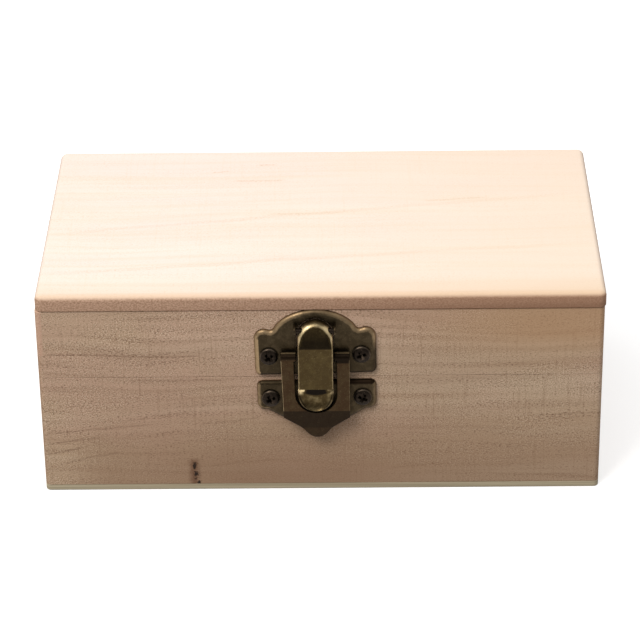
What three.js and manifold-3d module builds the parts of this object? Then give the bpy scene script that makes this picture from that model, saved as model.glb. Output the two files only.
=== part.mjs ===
// A small bare-wood keepsake box with a hinged lid and a pressed duckbill latch.
//
// The case is glued up from plain boards: a body of four walls over a thin bottom panel, and a lid of
// four rails under a thicker top panel. Front and back boards run the full width and the side boards
// sit between them, so the end grain of the long boards shows at the sides. Two small butt hinges join
// lid and body at the back. On the front, a crowned plate on the lid carries a duckbill lever and,
// below it, a slotted hasp leaf that hangs over a shield plate on the body.
//
// Millimetres. X runs to the right, Y to the back, Z up. The origin is the middle of the underside.

import * as THREE from "three";
import { mergeVertices } from "three/addons/utils/BufferGeometryUtils.js";
import Module from "manifold-3d";

// Case
const boxWidth = 130;
const boxDepth = 75;
const bodyHeight = 30.6;
const lidHeight = 21.4;
const wallThickness = 6;
const topThickness = 3.8;
const topOverhang = 0.25;
const bottomThickness = 1.5;
const cornerRound = 1.5;
const topEdgeRound = 1.3;
const topUnderRound = 0.4;
const glueLine = 0.05;
const seamGap = 0.1;

// Latch plates, both as wide as the leaf with a screw each side of it
const latchOffset = -1.1;
const latchSeatGap = 0.05;
const plateRise = 1.1;
const rimWidth = 1.15;
const rimDrop = 0.85;
const plateCorner = 1.4;
const crownMargin = 0.25;
const crownSpread = 0.7;
const crownRise = 8;
const upperFootGap = 1.05;
const lobeWidth = 4.15;
const lobeDrop = 4.75;
const lobeRound = 2;
const notchDepth = 0.7;
const windowMargin = 0.95;
const windowSideGap = 0.65;
const windowShoulderDrop = 5.5;
const lowerHeadGap = 0.9;
const wingHeight = 7.4;
const shieldWingRun = 3.35;
const shieldSlantDrop = 2.4;
const shieldTipDrop = 14;
const shieldTipRound = 3.4;
const shieldTipSwell = 1;
const keeperWidth = 5.6;
const keeperHeight = 1.5;
const keeperRise = 0.6;
const keeperDrop = 1.6;

// Latch screws
const latchScrewShank = 1.8;
const latchScrewLength = 5;
const latchScrewHead = 4.1;
const latchScrewHeadHeight = 1.05;
const latchScrewRim = 0.25;
const latchScrewPoint = 1.6;
const latchScrewGap = 0.7;
const latchScrewMargin = 1.25;
const upperScrewRise = 5.25;
const lowerScrewDrop = 4;
const screwPlay = 0.15;
const crossLength = 2.2;
const crossWidth = 0.45;
const crossDepth = 0.6;

// Hasp leaf
const leafWidth = 15.8;
const leafSheet = 0.8;
const leafArm = 3.05;
const leafPinRise = 5.5;
const leafPinStandoff = 2.5;
const leafKnuckle = 2.3;
const leafPinDiameter = 1.1;
const leafSlotLength = 14.5;
const leafSideLength = 16.05;
const leafBendDrop = 14.65;
const leafTipDrop = 21.75;
const leafTipRound = 3.7;
const leafTipSwell = 1.5;
const leafTipSetback = 1.1;
const knucklePlay = 0.25;

// Duckbill lever
const leverWidth = 8.4;
const leverLength = 22.9;
const leverPinDrop = 3.7;
const leverPinStandoff = 3;
const leverPinDiameter = 1.2;
const leverHeadRise = 2.3;
const leverHeadFace = 3.5;
const leverHeadBack = 1.5;
const leverHeadDepth = 4.4;
const leverHeadSlant = 1.8;
const leverFace = 5.2;
const leverBack = 3.25;
const leverSkin = 0.8;
const leverEdgeRound = 0.55;
const leverBrowDrop = 6.15;
const leverFaceLength = 10.35;
const scoopWidth = 7.7;
const scoopLength = 6.3;
const scoopHeight = 3.4;
const scoopFloor = 3.7;
const earSheet = 0.5;
const earRound = 1.25;
const pivotPlay = 0.15;
const pinHeadDiameter = 1.7;
const pinHeadHeight = 0.2;
const catchWidth = 3.4;
const catchHeight = 1.4;
const catchGap = 0.35;

// Hinges
const hingeInset = 23;
const hingeWidth = 20;
const hingeLeafHeight = 9;
const hingeSheet = 0.9;
const hingeBarrel = 3;
const hingePinDiameter = 1.4;
const hingeBarrelGap = 0.15;
const hingeSeatGap = 0.05;
const hingeCorner = 1.5;
const hingeMiddleShare = 0.36;
const hingeScrewSpacing = 13;
const hingeScrewRise = 5.6;
const hingeScrewShank = 1.6;
const hingeScrewLength = 5;
const hingeScrewHead = 3.2;
const hingeScrewHeadDepth = 0.7;
const hingeScrewCrown = 0.2;
const hingeScrewPoint = 1.4;
const runningPlay = 0.1;

// How far cutting tools run past what they cut, and how close two corners are one
const overrun = 2;
const weldDistance = 1e-4;

// Facet counts
const roundSteps = 3;
const fineSteps = 5;
const pinSides = 16;
const headSides = 20;

// Levels of the case, counted up from the underside
const seam = bodyHeight;
const bodyTop = seam - seamGap / 2;
const lidFoot = seam + seamGap / 2;
const boxHeight = bodyHeight + lidHeight;
const panelUnderside = boxHeight - topThickness;

const wasm = await Module();
wasm.setup();

// Closed geometry to a solid that can be cut and joined
function solidOf(geometry) {
  const bare = geometry.index ? geometry.toNonIndexed() : geometry.clone();
  bare.deleteAttribute("normal");
  bare.deleteAttribute("uv");
  const merged = mergeVertices(bare, weldDistance);
  const corners = merged.index.array;
  const triangles = [];
  for (let i = 0; i < corners.length; i += 3) {
    const [a, b, c] = corners.slice(i, i + 3);
    if (a !== b && b !== c && c !== a) triangles.push(a, b, c);
  }
  return new wasm.Manifold(
    new wasm.Mesh({
      numProp: 3,
      vertProperties: merged.attributes.position.array,
      triVerts: new Uint32Array(triangles),
    }),
  );
}

// A solid back to geometry
function geometryOf(solid) {
  const { vertProperties, triVerts } = solid.getMesh();
  const geometry = new THREE.BufferGeometry();
  geometry.setAttribute("position", new THREE.BufferAttribute(vertProperties, 3));
  geometry.setIndex(new THREE.BufferAttribute(triVerts, 1));
  return geometry;
}

function joined(...geometries) {
  return geometries.map(solidOf).reduce((all, one) => all.add(one));
}

function common(...geometries) {
  return geometries.map(solidOf).reduce((all, one) => all.intersect(one));
}

function cut(solid, ...tools) {
  return tools.reduce((left, tool) => left.subtract(solidOf(tool)), solid);
}

// An outline in the XY plane made a slab between two heights
function slab(outline, low, high, steps = roundSteps) {
  const options = { depth: high - low, bevelEnabled: false, curveSegments: steps };
  return new THREE.ExtrudeGeometry(outline, options).translate(0, 0, low);
}

// A side profile, drawn with X pointing out of the face and Y up, made as wide as given along X
function across(profile, left, right, steps = roundSteps) {
  const toSide = new THREE.Matrix4().makeBasis(
    new THREE.Vector3(0, 0, 1),
    new THREE.Vector3(0, 1, 0),
    new THREE.Vector3(-1, 0, 0),
  );
  return slab(profile, -right, -left, steps).applyMatrix4(toSide);
}

function rod(diameter, left, right, sides = pinSides) {
  const radius = diameter / 2;
  const geometry = new THREE.CylinderGeometry(radius, radius, right - left, sides);
  return geometry.rotateZ(Math.PI / 2).translate((left + right) / 2, 0, 0);
}

function block(left, right, low, high, back, front) {
  const geometry = new THREE.BoxGeometry(right - left, high - low, front - back);
  return geometry.translate((left + right) / 2, (low + high) / 2, (back + front) / 2);
}

function circle(radius, x = 0, y = 0) {
  return new THREE.Shape().absarc(x, y, radius, 0, 2 * Math.PI);
}

// A rectangle whose four corners are rounded one by one: low left, low right, high right, high left
function roundedRectangle(left, right, low, high, radii) {
  const [lowLeft, lowRight, highRight, highLeft] = radii;
  const outline = new THREE.Shape();
  const turn = (x, y, radius, quarter) => {
    if (radius > 0) outline.absarc(x, y, radius, quarter * Math.PI / 2, (quarter + 1) * Math.PI / 2);
    else outline.lineTo(x, y);
  };
  outline.moveTo(left + lowLeft, low);
  turn(right - lowRight, low + lowRight, lowRight, -1);
  turn(right - highRight, high - highRight, highRight, 0);
  turn(left + highLeft, high - highLeft, highLeft, 1);
  turn(left + lowLeft, low + lowLeft, lowLeft, 2);
  return outline;
}

function place(name, shape, material, parent, position = [0, 0, 0]) {
  const geometry = shape.isBufferGeometry ? shape : geometryOf(shape);
  geometry.computeVertexNormals();
  const mesh = new THREE.Mesh(geometry, material);
  mesh.name = name;
  mesh.position.set(...position);
  parent.add(mesh);
  return mesh;
}

const palePine = new THREE.MeshStandardMaterial({ color: 0xf3e0c6, roughness: 0.75 });
const shadedPine = new THREE.MeshStandardMaterial({ color: 0xc4a88d, roughness: 0.8 });
const thinPly = new THREE.MeshStandardMaterial({ color: 0xc6c0a6, roughness: 0.8 });
const agedBronze = new THREE.MeshStandardMaterial({ color: 0x5c5036, roughness: 0.45, metalness: 0.85 });
const wornBronze = new THREE.MeshStandardMaterial({ color: 0x7c7044, roughness: 0.35, metalness: 0.9 });
const darkSteel = new THREE.MeshStandardMaterial({ color: 0x3d362a, roughness: 0.4, metalness: 0.9 });

// The two faces that hardware is screwed to. In each, X runs along the face, Y up and Z out of it.
function faceFrame(x, y, turn) {
  const frame = new THREE.Group();
  frame.position.set(x, y, 0);
  frame.rotation.set(Math.PI / 2, 0, turn, "ZXY");
  frame.updateMatrix();
  return frame;
}

const latchFrame = faceFrame(latchOffset, -boxDepth / 2, 0);
const hingePlace = boxWidth / 2 - hingeInset;
const hingeFrames = {
  left: faceFrame(-hingePlace, boxDepth / 2, Math.PI),
  right: faceFrame(hingePlace, boxDepth / 2, Math.PI),
};

// Levels and places of the latch, in its face frame
const latchScrewPlace = leafWidth / 2 + latchScrewGap + latchScrewHead / 2;
const halfPlate = latchScrewPlace + latchScrewHead / 2 + latchScrewMargin;
const plateFace = latchSeatGap + plateRise;
const crownTop = panelUnderside - crownMargin;
const upperFoot = seam + upperFootGap;
const lobeTop = crownTop - lobeDrop;
const lowerHead = seam - lowerHeadGap;
const wingFoot = lowerHead - wingHeight;
const leafPinHeight = upperFoot + leafPinRise;
const leverPinHeight = crownTop - leverPinDrop;
const leverTop = leverPinHeight + leverHeadRise;
const leverFoot = leverTop - leverLength;
const browHeight = leverTop - leverBrowDrop;
const faceFoot = browHeight - leverFaceLength;

const latchScrews = [
  { side: "left", row: "upper", x: -latchScrewPlace, y: upperFoot + upperScrewRise, turn: 40 },
  { side: "right", row: "upper", x: latchScrewPlace, y: upperFoot + upperScrewRise, turn: 20 },
  { side: "left", row: "lower", x: -latchScrewPlace, y: lowerHead - lowerScrewDrop, turn: 30 },
  { side: "right", row: "lower", x: latchScrewPlace, y: lowerHead - lowerScrewDrop, turn: 65 },
];
const hingeScrews = [
  { side: "left", row: "lid", x: -hingeScrewSpacing / 2, y: seam + hingeScrewRise, turn: 10 },
  { side: "right", row: "lid", x: hingeScrewSpacing / 2, y: seam + hingeScrewRise, turn: 55 },
  { side: "left", row: "body", x: -hingeScrewSpacing / 2, y: seam - hingeScrewRise, turn: 75 },
  { side: "right", row: "body", x: hingeScrewSpacing / 2, y: seam - hingeScrewRise, turn: 30 },
];

// Holes through a face for the screws of some rows, as tools in the part's own frame
function pilotHoles(frame, screws, rows, shank, depth) {
  const radius = shank / 2 + screwPlay;
  const chosen = screws.filter((screw) => rows.includes(screw.row));
  return chosen.map(({ x, y }) => {
    const hole = new THREE.CylinderGeometry(radius, radius, depth + overrun, pinSides);
    hole.rotateX(Math.PI / 2).translate(x, y, (overrun - depth) / 2);
    return hole.applyMatrix4(frame.matrix);
  });
}

const latchPilotDepth = latchScrewLength - plateFace + screwPlay;
const hingePilotDepth = hingeScrewLength - hingeSheet - hingeSeatGap + screwPlay;

function frontHoles(row) {
  return pilotHoles(latchFrame, latchScrews, [row], latchScrewShank, latchPilotDepth);
}

function backHoles(row) {
  const tools = (frame) => pilotHoles(frame, hingeScrews, [row], hingeScrewShank, hingePilotDepth);
  return Object.values(hingeFrames).flatMap(tools);
}

// A ring of four boards: long boards in front and behind, side boards between them
function boardRing(names, low, high, row, parent) {
  const x = boxWidth / 2;
  const y = boxDepth / 2;
  const inside = y - wallThickness;
  const round = cornerRound;
  const front = roundedRectangle(-x, x, -y, -inside, [round, round, 0, 0]);
  const back = roundedRectangle(-x, x, inside, y, [0, 0, round, round]);
  const long = (outline) => solidOf(slab(outline, low, high));
  const side = (left) => {
    const right = left + wallThickness;
    const reach = inside - glueLine;
    return slab(roundedRectangle(left, right, -reach, reach, [0, 0, 0, 0]), low, high);
  };
  place(names.front, cut(long(front), ...frontHoles(row.front)), shadedPine, parent);
  place(names.back, cut(long(back), ...backHoles(row.back)), shadedPine, parent);
  place(names.left, side(-x), shadedPine, parent);
  place(names.right, side(x - wallThickness), shadedPine, parent);
}

function makeBody(parent) {
  const names = { front: "front_wall", back: "back_wall", left: "left_wall", right: "right_wall" };
  const low = bottomThickness + glueLine;
  boardRing(names, low, bodyTop, { front: "lower", back: "body" }, parent);
  const x = boxWidth / 2;
  const y = boxDepth / 2;
  const plan = roundedRectangle(-x, x, -y, y, Array(4).fill(cornerRound));
  place("bottom_panel", slab(plan, 0, bottomThickness), thinPly, parent);
}

function makeLid(parent) {
  const names = {
    front: "lid_front_rail",
    back: "lid_back_rail",
    left: "lid_left_rail",
    right: "lid_right_rail",
  };
  const high = panelUnderside - glueLine;
  boardRing(names, lidFoot, high, { front: "upper", back: "lid" }, parent);

  // The top panel is the meeting of its plan and its two sanded cross sections
  const x = boxWidth / 2 + topOverhang;
  const y = boxDepth / 2 + topOverhang;
  const rounds = [topUnderRound, topUnderRound, topEdgeRound, topEdgeRound];
  const section = (reach) => roundedRectangle(-reach, reach, panelUnderside, boxHeight, rounds);
  const plan = roundedRectangle(-x, x, -y, y, Array(4).fill(cornerRound));
  const widthways = slab(section(x), -y, y).rotateX(Math.PI / 2);
  const depthways = slab(section(y), -x, x).rotateX(Math.PI / 2).rotateZ(Math.PI / 2);
  const panel = common(slab(plan, panelUnderside, boxHeight), widthways, depthways);
  place("lid_top_panel", panel, palePine, parent);
}

// A pressed plate: a flat back on the wood, and a front whose rim is drawn down all round
function pressedPlate(outline, steps) {
  const options = {
    depth: plateRise - rimDrop,
    bevelSize: rimWidth,
    bevelOffset: -rimWidth,
    bevelThickness: rimDrop,
    bevelSegments: roundSteps,
    curveSegments: steps,
  };
  const plate = new THREE.ExtrudeGeometry(outline, options).translate(0, 0, latchSeatGap);
  const behind = block(-boxWidth, boxWidth, 0, boxHeight, -rimDrop - overrun, latchSeatGap);
  return cut(solidOf(plate), behind);
}

function plateHoles(row) {
  const radius = latchScrewShank / 2 + screwPlay;
  const chosen = latchScrews.filter((screw) => screw.row === row);
  return chosen.map(({ x, y }) => slab(circle(radius, x, y), -overrun, plateFace + overrun, fineSteps));
}

// The lid plate's outline: square foot, a low lobe at each shoulder, and a crown between two notches
function crownOutline() {
  const notch = halfPlate - lobeWidth;
  const notchHeight = lobeTop - notchDepth;
  const crownHalf = notch + crownSpread;
  const angle = Math.acos((notch - notchDepth / 2) / crownHalf);
  const middle = crownTop - crownRise;
  const lobe = lobeTop - lobeRound;
  const low = upperFoot + plateCorner;
  const outline = new THREE.Shape();
  outline.moveTo(-halfPlate + plateCorner, upperFoot);
  outline.absarc(halfPlate - plateCorner, low, plateCorner, -Math.PI / 2, 0);
  outline.absarc(halfPlate - lobeRound, lobe, lobeRound, 0, Math.PI / 2);
  const { x, y } = new THREE.EllipseCurve(0, middle, crownHalf, crownRise, angle, angle).getPoint(0);
  outline.quadraticCurveTo(notch, notchHeight, x, y);
  outline.absellipse(0, middle, crownHalf, crownRise, angle, Math.PI - angle);
  outline.quadraticCurveTo(-notch, notchHeight, -halfPlate + lobeRound, lobeTop);
  outline.absarc(-halfPlate + lobeRound, lobe, lobeRound, Math.PI / 2, Math.PI);
  outline.absarc(-halfPlate + plateCorner, low, plateCorner, Math.PI, 1.5 * Math.PI);
  return outline;
}

function makeUpperPlate(parent) {
  const earInner = leverWidth / 2 + pivotPlay;
  const earOuter = earInner + earSheet;
  const plate = pressedPlate(crownOutline(), fineSteps);

  // The window that the ears and the knuckle tongue were bent out of: an arch over a wider foot
  const windowFoot = leafPinHeight + leafKnuckle / 2 + knucklePlay;
  const windowTop = crownTop - windowMargin;
  const shoulder = windowTop - windowShoulderDrop;
  const wide = leverWidth / 2 + windowSideGap;
  const through = (outline) => slab(outline, -overrun, plateFace + overrun, fineSteps);
  const arch = roundedRectangle(-earInner, earInner, windowFoot, windowTop, [0, 0, earInner, earInner]);
  const foot = roundedRectangle(-wide, wide, windowFoot, shoulder, [0, 0, 0, 0]);
  const opened = cut(plate, through(arch), through(foot), ...plateHoles("upper"));

  // An ear each side of the lever, with the hole for its pin
  const earProfile = new THREE.Shape();
  earProfile.moveTo(latchSeatGap, leverPinHeight - earRound);
  earProfile.absarc(leverPinStandoff, leverPinHeight, earRound, -Math.PI / 2, Math.PI / 2);
  earProfile.lineTo(latchSeatGap, leverPinHeight + earRound);
  const ears = joined(
    across(earProfile, -earOuter, -earInner),
    across(earProfile, earInner, earOuter),
  );
  const leverPinHole = rod(leverPinDiameter + 2 * runningPlay, -halfPlate, halfPlate);
  leverPinHole.translate(0, leverPinHeight, leverPinStandoff);

  // The tongue rolled into the middle knuckle of the leaf's hinge, hidden in the lever's hollow
  const knuckleReach = leverWidth / 2 - leverSkin - knucklePlay;
  const barrel = rod(leafKnuckle, -knuckleReach, knuckleReach);
  barrel.translate(0, leafPinHeight, leafPinStandoff);
  const root = block(
    -knuckleReach,
    knuckleReach,
    leafPinHeight - leafKnuckle / 2,
    leafPinHeight,
    latchSeatGap,
    leafPinStandoff,
  );
  const leafPinHole = rod(leafPinDiameter + 2 * runningPlay, -halfPlate, halfPlate);
  leafPinHole.translate(0, leafPinHeight, leafPinStandoff);
  const tongue = cut(joined(barrel, root), leafPinHole);
  const whole = opened.add(cut(ears, leverPinHole)).add(tongue);
  place("latch_upper_plate", whole, agedBronze, parent);
}

// The shield below: two wings with rounded ends, then slanted sides that run on under the leaf's point
function shieldOutline() {
  const tip = lowerHead - shieldTipDrop;
  const slantTop = halfPlate - shieldWingRun;
  const slantFoot = wingFoot - shieldSlantDrop;
  const curve = slantFoot - shieldTipSwell;
  const outline = new THREE.Shape();
  outline.moveTo(-slantTop, wingFoot);
  outline.lineTo(-leafWidth / 2, slantFoot);
  outline.bezierCurveTo(-shieldTipRound, curve, -shieldTipRound, tip, 0, tip);
  outline.bezierCurveTo(shieldTipRound, tip, shieldTipRound, curve, leafWidth / 2, slantFoot);
  outline.lineTo(slantTop, wingFoot);
  outline.absarc(halfPlate - plateCorner, wingFoot + plateCorner, plateCorner, -Math.PI / 2, 0);
  outline.absarc(halfPlate - plateCorner, lowerHead - plateCorner, plateCorner, 0, Math.PI / 2);
  outline.absarc(-halfPlate + plateCorner, lowerHead - plateCorner, plateCorner, Math.PI / 2, Math.PI);
  outline.absarc(-halfPlate + plateCorner, wingFoot + plateCorner, plateCorner, Math.PI, 1.5 * Math.PI);
  return outline;
}

function makeLowerPlate(parent) {
  const plate = cut(pressedPlate(shieldOutline(), fineSteps), ...plateHoles("lower"));
  const keeperTop = lowerHead - keeperDrop;
  const keeperFoot = keeperTop - keeperHeight;
  const front = plateFace + keeperRise;
  const keeperProfile = new THREE.Shape();
  keeperProfile.moveTo(latchSeatGap, keeperFoot);
  keeperProfile.lineTo(front, keeperFoot);
  keeperProfile.quadraticCurveTo(front, keeperTop, plateFace, keeperTop);
  keeperProfile.lineTo(latchSeatGap, keeperTop);
  const keeper = across(keeperProfile, -keeperWidth / 2, keeperWidth / 2);
  place("latch_lower_plate", plate.add(solidOf(keeper)), agedBronze, parent);
}

// Leaf seen from the front, from its pin down to the point, with the slot open at the top
function leafOutline() {
  const half = leafWidth / 2;
  const slot = half - leafArm;
  const slotFoot = leafPinHeight - leafSlotLength;
  const shoulder = leafPinHeight - leafSideLength;
  const tip = leafPinHeight - leafTipDrop;
  const outline = new THREE.Shape();
  outline.moveTo(-half, leafPinHeight);
  outline.lineTo(-half, shoulder);
  outline.bezierCurveTo(-leafTipRound, shoulder - leafTipSwell, -leafTipRound, tip, 0, tip);
  outline.bezierCurveTo(leafTipRound, tip, leafTipRound, shoulder - leafTipSwell, half, shoulder);
  outline.lineTo(half, leafPinHeight);
  outline.lineTo(slot, leafPinHeight);
  outline.absarc(0, slotFoot + slot, slot, 0, Math.PI, true);
  outline.lineTo(-slot, leafPinHeight);
  return outline;
}

function makeLeaf(parent) {
  // The sheet rolls back round its pin, so that its face runs flush with the knuckles
  const front = leafPinStandoff + leafKnuckle / 2;
  const back = front - leafSheet;
  const bend = leafPinHeight - leafBendDrop;
  const tip = leafPinHeight - leafTipDrop - overrun;
  const slope = leafTipSetback / (leafTipDrop - leafBendDrop);
  const setback = (bend - tip) * slope;
  const profile = new THREE.Shape();
  profile.moveTo(back, leafPinHeight);
  profile.lineTo(back, bend);
  profile.lineTo(back - setback, tip);
  profile.lineTo(front - setback, tip);
  profile.lineTo(front, bend);
  profile.lineTo(front, leafPinHeight);
  const sheet = common(
    slab(leafOutline(), -overrun, leverFace, fineSteps),
    across(profile, -leafWidth, leafWidth),
  );
  const half = leafWidth / 2;
  const knuckles = [
    rod(leafKnuckle, -half, leafArm - half),
    rod(leafKnuckle, half - leafArm, half),
  ].map((knuckle) => knuckle.translate(0, leafPinHeight, leafPinStandoff));
  const pinHole = rod(leafPinDiameter + 2 * runningPlay, -leafWidth, leafWidth);
  pinHole.translate(0, leafPinHeight, leafPinStandoff);
  const whole = cut(sheet.add(solidOf(knuckles[0])).add(solidOf(knuckles[1])), pinHole);
  place("latch_hasp_leaf", whole, agedBronze, parent);
}

// The lever's round-ended outline, drawn in or out by a margin
function leverOutline(inset, low, high) {
  const half = leverWidth / 2 - inset;
  return roundedRectangle(-half, half, low + inset, high - inset, Array(4).fill(half));
}

function makeLever(parent) {
  // Side view, from the bill up: flat face, sloping brow, and a deep head that turns in the window
  const headFoot = leverTop - leverHeadDepth;
  const profile = new THREE.Shape();
  profile.moveTo(leverBack, leverFoot);
  profile.lineTo(leverFace, leverFoot);
  profile.lineTo(leverFace, browHeight);
  profile.lineTo(leverHeadFace, leverTop);
  profile.lineTo(leverHeadBack, leverTop);
  profile.lineTo(leverHeadBack, headFoot);
  profile.lineTo(leverBack, headFoot - leverHeadSlant);
  const options = {
    depth: leverFace - leverEdgeRound,
    bevelSize: leverEdgeRound,
    bevelOffset: -leverEdgeRound,
    bevelThickness: leverEdgeRound,
    bevelSegments: roundSteps,
    curveSegments: fineSteps,
  };
  const stadium = new THREE.ExtrudeGeometry(leverOutline(0, leverFoot, leverTop), options);
  const shell = common(stadium, across(profile, -leverWidth, leverWidth, fineSteps));

  // The hollow behind the face, the spoon-shaped scoop of the bill and the pin hole
  const hollowFoot = faceFoot + leverSkin;
  const hollowHalf = leverWidth / 2 - leverSkin;
  const rounds = [0, 0, hollowHalf, hollowHalf];
  const plan = roundedRectangle(-hollowHalf, hollowHalf, hollowFoot, leverTop - leverSkin, rounds);
  const depth = new THREE.Shape();
  depth.moveTo(0, hollowFoot);
  depth.lineTo(leverFace - leverSkin, hollowFoot);
  depth.lineTo(leverFace - leverSkin, browHeight);
  depth.lineTo(leverHeadFace - leverSkin, leverTop);
  depth.lineTo(0, leverTop);
  const hollow = common(slab(plan, 0, leverFace, fineSteps), across(depth, -leverWidth, leverWidth));
  const ball = new THREE.SphereGeometry(1, pinSides, pinSides);
  ball.scale(scoopWidth / 2, scoopLength, scoopHeight);
  ball.translate(0, faceFoot, scoopFloor + scoopHeight);
  const above = block(-leverWidth, leverWidth, faceFoot, leverTop, 0, leverFace + scoopHeight * 2);
  const scoop = cut(solidOf(ball), above);
  const pinHole = rod(leverPinDiameter + 2 * runningPlay, -leverWidth, leverWidth);
  pinHole.translate(0, leverPinHeight, leverPinStandoff);
  const pressed = cut(shell, pinHole).subtract(hollow).subtract(scoop);

  // The catch reaches back through the slot, below the keeper
  const keeperFoot = lowerHead - keeperDrop - keeperHeight;
  const catchTop = keeperFoot - catchGap;
  const catchBack = plateFace + keeperRise + catchGap;
  const catchWidthHalf = catchWidth / 2;
  const catchTab = block(
    -catchWidthHalf,
    catchWidthHalf,
    catchTop - catchHeight,
    catchTop,
    catchBack,
    leverBack + leverEdgeRound / 2,
  );
  place("latch_lever", pressed.add(solidOf(catchTab)), wornBronze, parent);
}

// A pin with a low head at each end
function headedPin(diameter, reach, headDiameter) {
  const pin = rod(diameter, -reach, reach);
  const left = rod(headDiameter, -reach - pinHeadHeight, -reach);
  const right = rod(headDiameter, reach, reach + pinHeadHeight);
  return joined(pin, left, right);
}

function makeLatchPins(parent) {
  const earOuter = leverWidth / 2 + pivotPlay + earSheet;
  const leverPin = headedPin(leverPinDiameter, earOuter + runningPlay, pinHeadDiameter);
  place("lever_pin", leverPin, darkSteel, parent, [0, leverPinHeight, leverPinStandoff]);
  const leafPin = rod(leafPinDiameter, -leafWidth / 2, leafWidth / 2);
  place("hasp_pin", leafPin, darkSteel, parent, [0, leafPinHeight, leafPinStandoff]);
}

// A turned screw along Z with its head seat at zero, and a crossed recess
function turnedScrew(profile, headTop) {
  const points = profile.map(([radius, height]) => new THREE.Vector2(radius, height));
  const turned = new THREE.LatheGeometry(points, headSides).rotateX(Math.PI / 2);
  const half = crossLength / 2;
  const narrow = crossWidth / 2;
  const floor = headTop - crossDepth;
  return cut(
    solidOf(turned),
    block(-half, half, -narrow, narrow, floor, headTop + overrun),
    block(-narrow, narrow, -half, half, floor, headTop + overrun),
  );
}

function domeProfile(radius, rim, height, steps) {
  const arc = Array.from({ length: steps }, (_, i) => (i / steps) * Math.PI / 2);
  const rise = height - rim;
  return arc.map((angle) => [radius * Math.cos(angle), rim + rise * Math.sin(angle)]);
}

function latchScrew() {
  const shank = latchScrewShank / 2;
  const head = latchScrewHead / 2;
  const profile = [
    [0, -latchScrewLength],
    [shank, latchScrewPoint - latchScrewLength],
    [shank, 0],
    [head, 0],
    ...domeProfile(head, latchScrewRim, latchScrewHeadHeight, fineSteps),
    [0, latchScrewHeadHeight],
  ];
  return turnedScrew(profile, latchScrewHeadHeight);
}

function hingeScrew() {
  const shank = hingeScrewShank / 2;
  const head = hingeScrewHead / 2;
  const profile = [
    [0, -hingeScrewLength],
    [shank, hingeScrewPoint - hingeScrewLength],
    [shank, -hingeScrewHeadDepth],
    [head, 0],
    ...domeProfile(head, 0, hingeScrewCrown, roundSteps).slice(1),
    [0, hingeScrewCrown],
  ];
  return turnedScrew(profile, hingeScrewCrown);
}

function makeLatchScrews(parent) {
  const screw = geometryOf(latchScrew());
  for (const { side, row, x, y, turn } of latchScrews) {
    const turned = screw.clone().rotateZ(THREE.MathUtils.degToRad(turn));
    place(`latch_screw_${row}_${side}`, turned, darkSteel, parent, [x, y, plateFace + latchSeatGap]);
  }
}

// Hinge leaf above its pin: a plate with countersunk holes, and knuckles on stretches of the barrel
function hingeLeaf(stretches, others, row) {
  const half = hingeWidth / 2;
  const axisOut = hingeBarrel / 2 + hingeBarrelGap;
  const seat = hingeSeatGap;
  const face = hingeSeatGap + hingeSheet;
  const outline = roundedRectangle(-half, half, 0, hingeLeafHeight, [0, 0, hingeCorner, hingeCorner]);
  const plate = slab(outline, seat, face);
  const knuckles = stretches.map(([left, right]) => rod(hingeBarrel, left, right).translate(0, 0, axisOut));
  const clear = hingeBarrel / 2 + knucklePlay;
  const notches = others.map(([left, right]) => {
    return block(left - knucklePlay, right + knucklePlay, -overrun, clear, -overrun, axisOut + clear);
  });
  const bore = rod(hingePinDiameter + 2 * runningPlay, -hingeWidth, hingeWidth).translate(0, 0, axisOut);
  const holes = hingeScrews.filter((screw) => screw.row === row).flatMap(({ x }) => {
    const wide = hingeScrewHead / 2 + screwPlay;
    const narrow = hingeScrewShank / 2 + screwPlay;
    const through = new THREE.CylinderGeometry(narrow, narrow, overrun * 2, headSides);
    const sink = new THREE.CylinderGeometry(wide, narrow, hingeScrewHeadDepth, headSides);
    through.rotateX(Math.PI / 2).translate(x, hingeScrewRise, seat);
    sink.rotateX(Math.PI / 2).translate(x, hingeScrewRise, face - hingeScrewHeadDepth / 2);
    return [through, sink];
  });
  return geometryOf(cut(joined(plate, ...knuckles), ...notches, bore, ...holes));
}

function makeHinge(side, bodyParent, lidParent) {
  const half = hingeWidth / 2;
  const middle = (hingeWidth * hingeMiddleShare) / 2;
  const inner = [[-middle, middle]];
  const outer = [[-half, -middle - pivotPlay], [middle + pivotPlay, half]];
  const axisOut = hingeBarrel / 2 + hingeBarrelGap;
  const lidLeaf = hingeLeaf(inner, outer, "lid");
  const bodyLeaf = hingeLeaf(outer, inner, "body").scale(-1, -1, 1);
  place(`${side}_hinge_lid_leaf`, lidLeaf, agedBronze, lidParent, [0, seam, 0]);
  place(`${side}_hinge_body_leaf`, bodyLeaf, agedBronze, bodyParent, [0, seam, 0]);
  const pin = rod(hingePinDiameter, -half, half);
  place(`${side}_hinge_pin`, pin, darkSteel, bodyParent, [0, seam, axisOut]);
  const screw = geometryOf(hingeScrew());
  const seat = hingeSeatGap + hingeSheet;
  for (const { side: end, row, x, y, turn } of hingeScrews) {
    const parent = row === "lid" ? lidParent : bodyParent;
    const turned = screw.clone().rotateZ(THREE.MathUtils.degToRad(turn));
    place(`${side}_hinge_screw_${row}_${end}`, turned, darkSteel, parent, [x, y, seat]);
  }
}

// The assembly
const keepsakeBox = new THREE.Group();
const body = new THREE.Group();
const lid = new THREE.Group();
keepsakeBox.add(body, lid);
makeBody(body);
makeLid(lid);
for (const [side, frame] of Object.entries(hingeFrames)) {
  const lidFrame = frame.clone();
  body.add(frame);
  lid.add(lidFrame);
  makeHinge(side, frame, lidFrame);
}
keepsakeBox.add(latchFrame);
makeUpperPlate(latchFrame);
makeLowerPlate(latchFrame);
makeLeaf(latchFrame);
makeLever(latchFrame);
makeLatchPins(latchFrame);
makeLatchScrews(latchFrame);

export default keepsakeBox;
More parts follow.
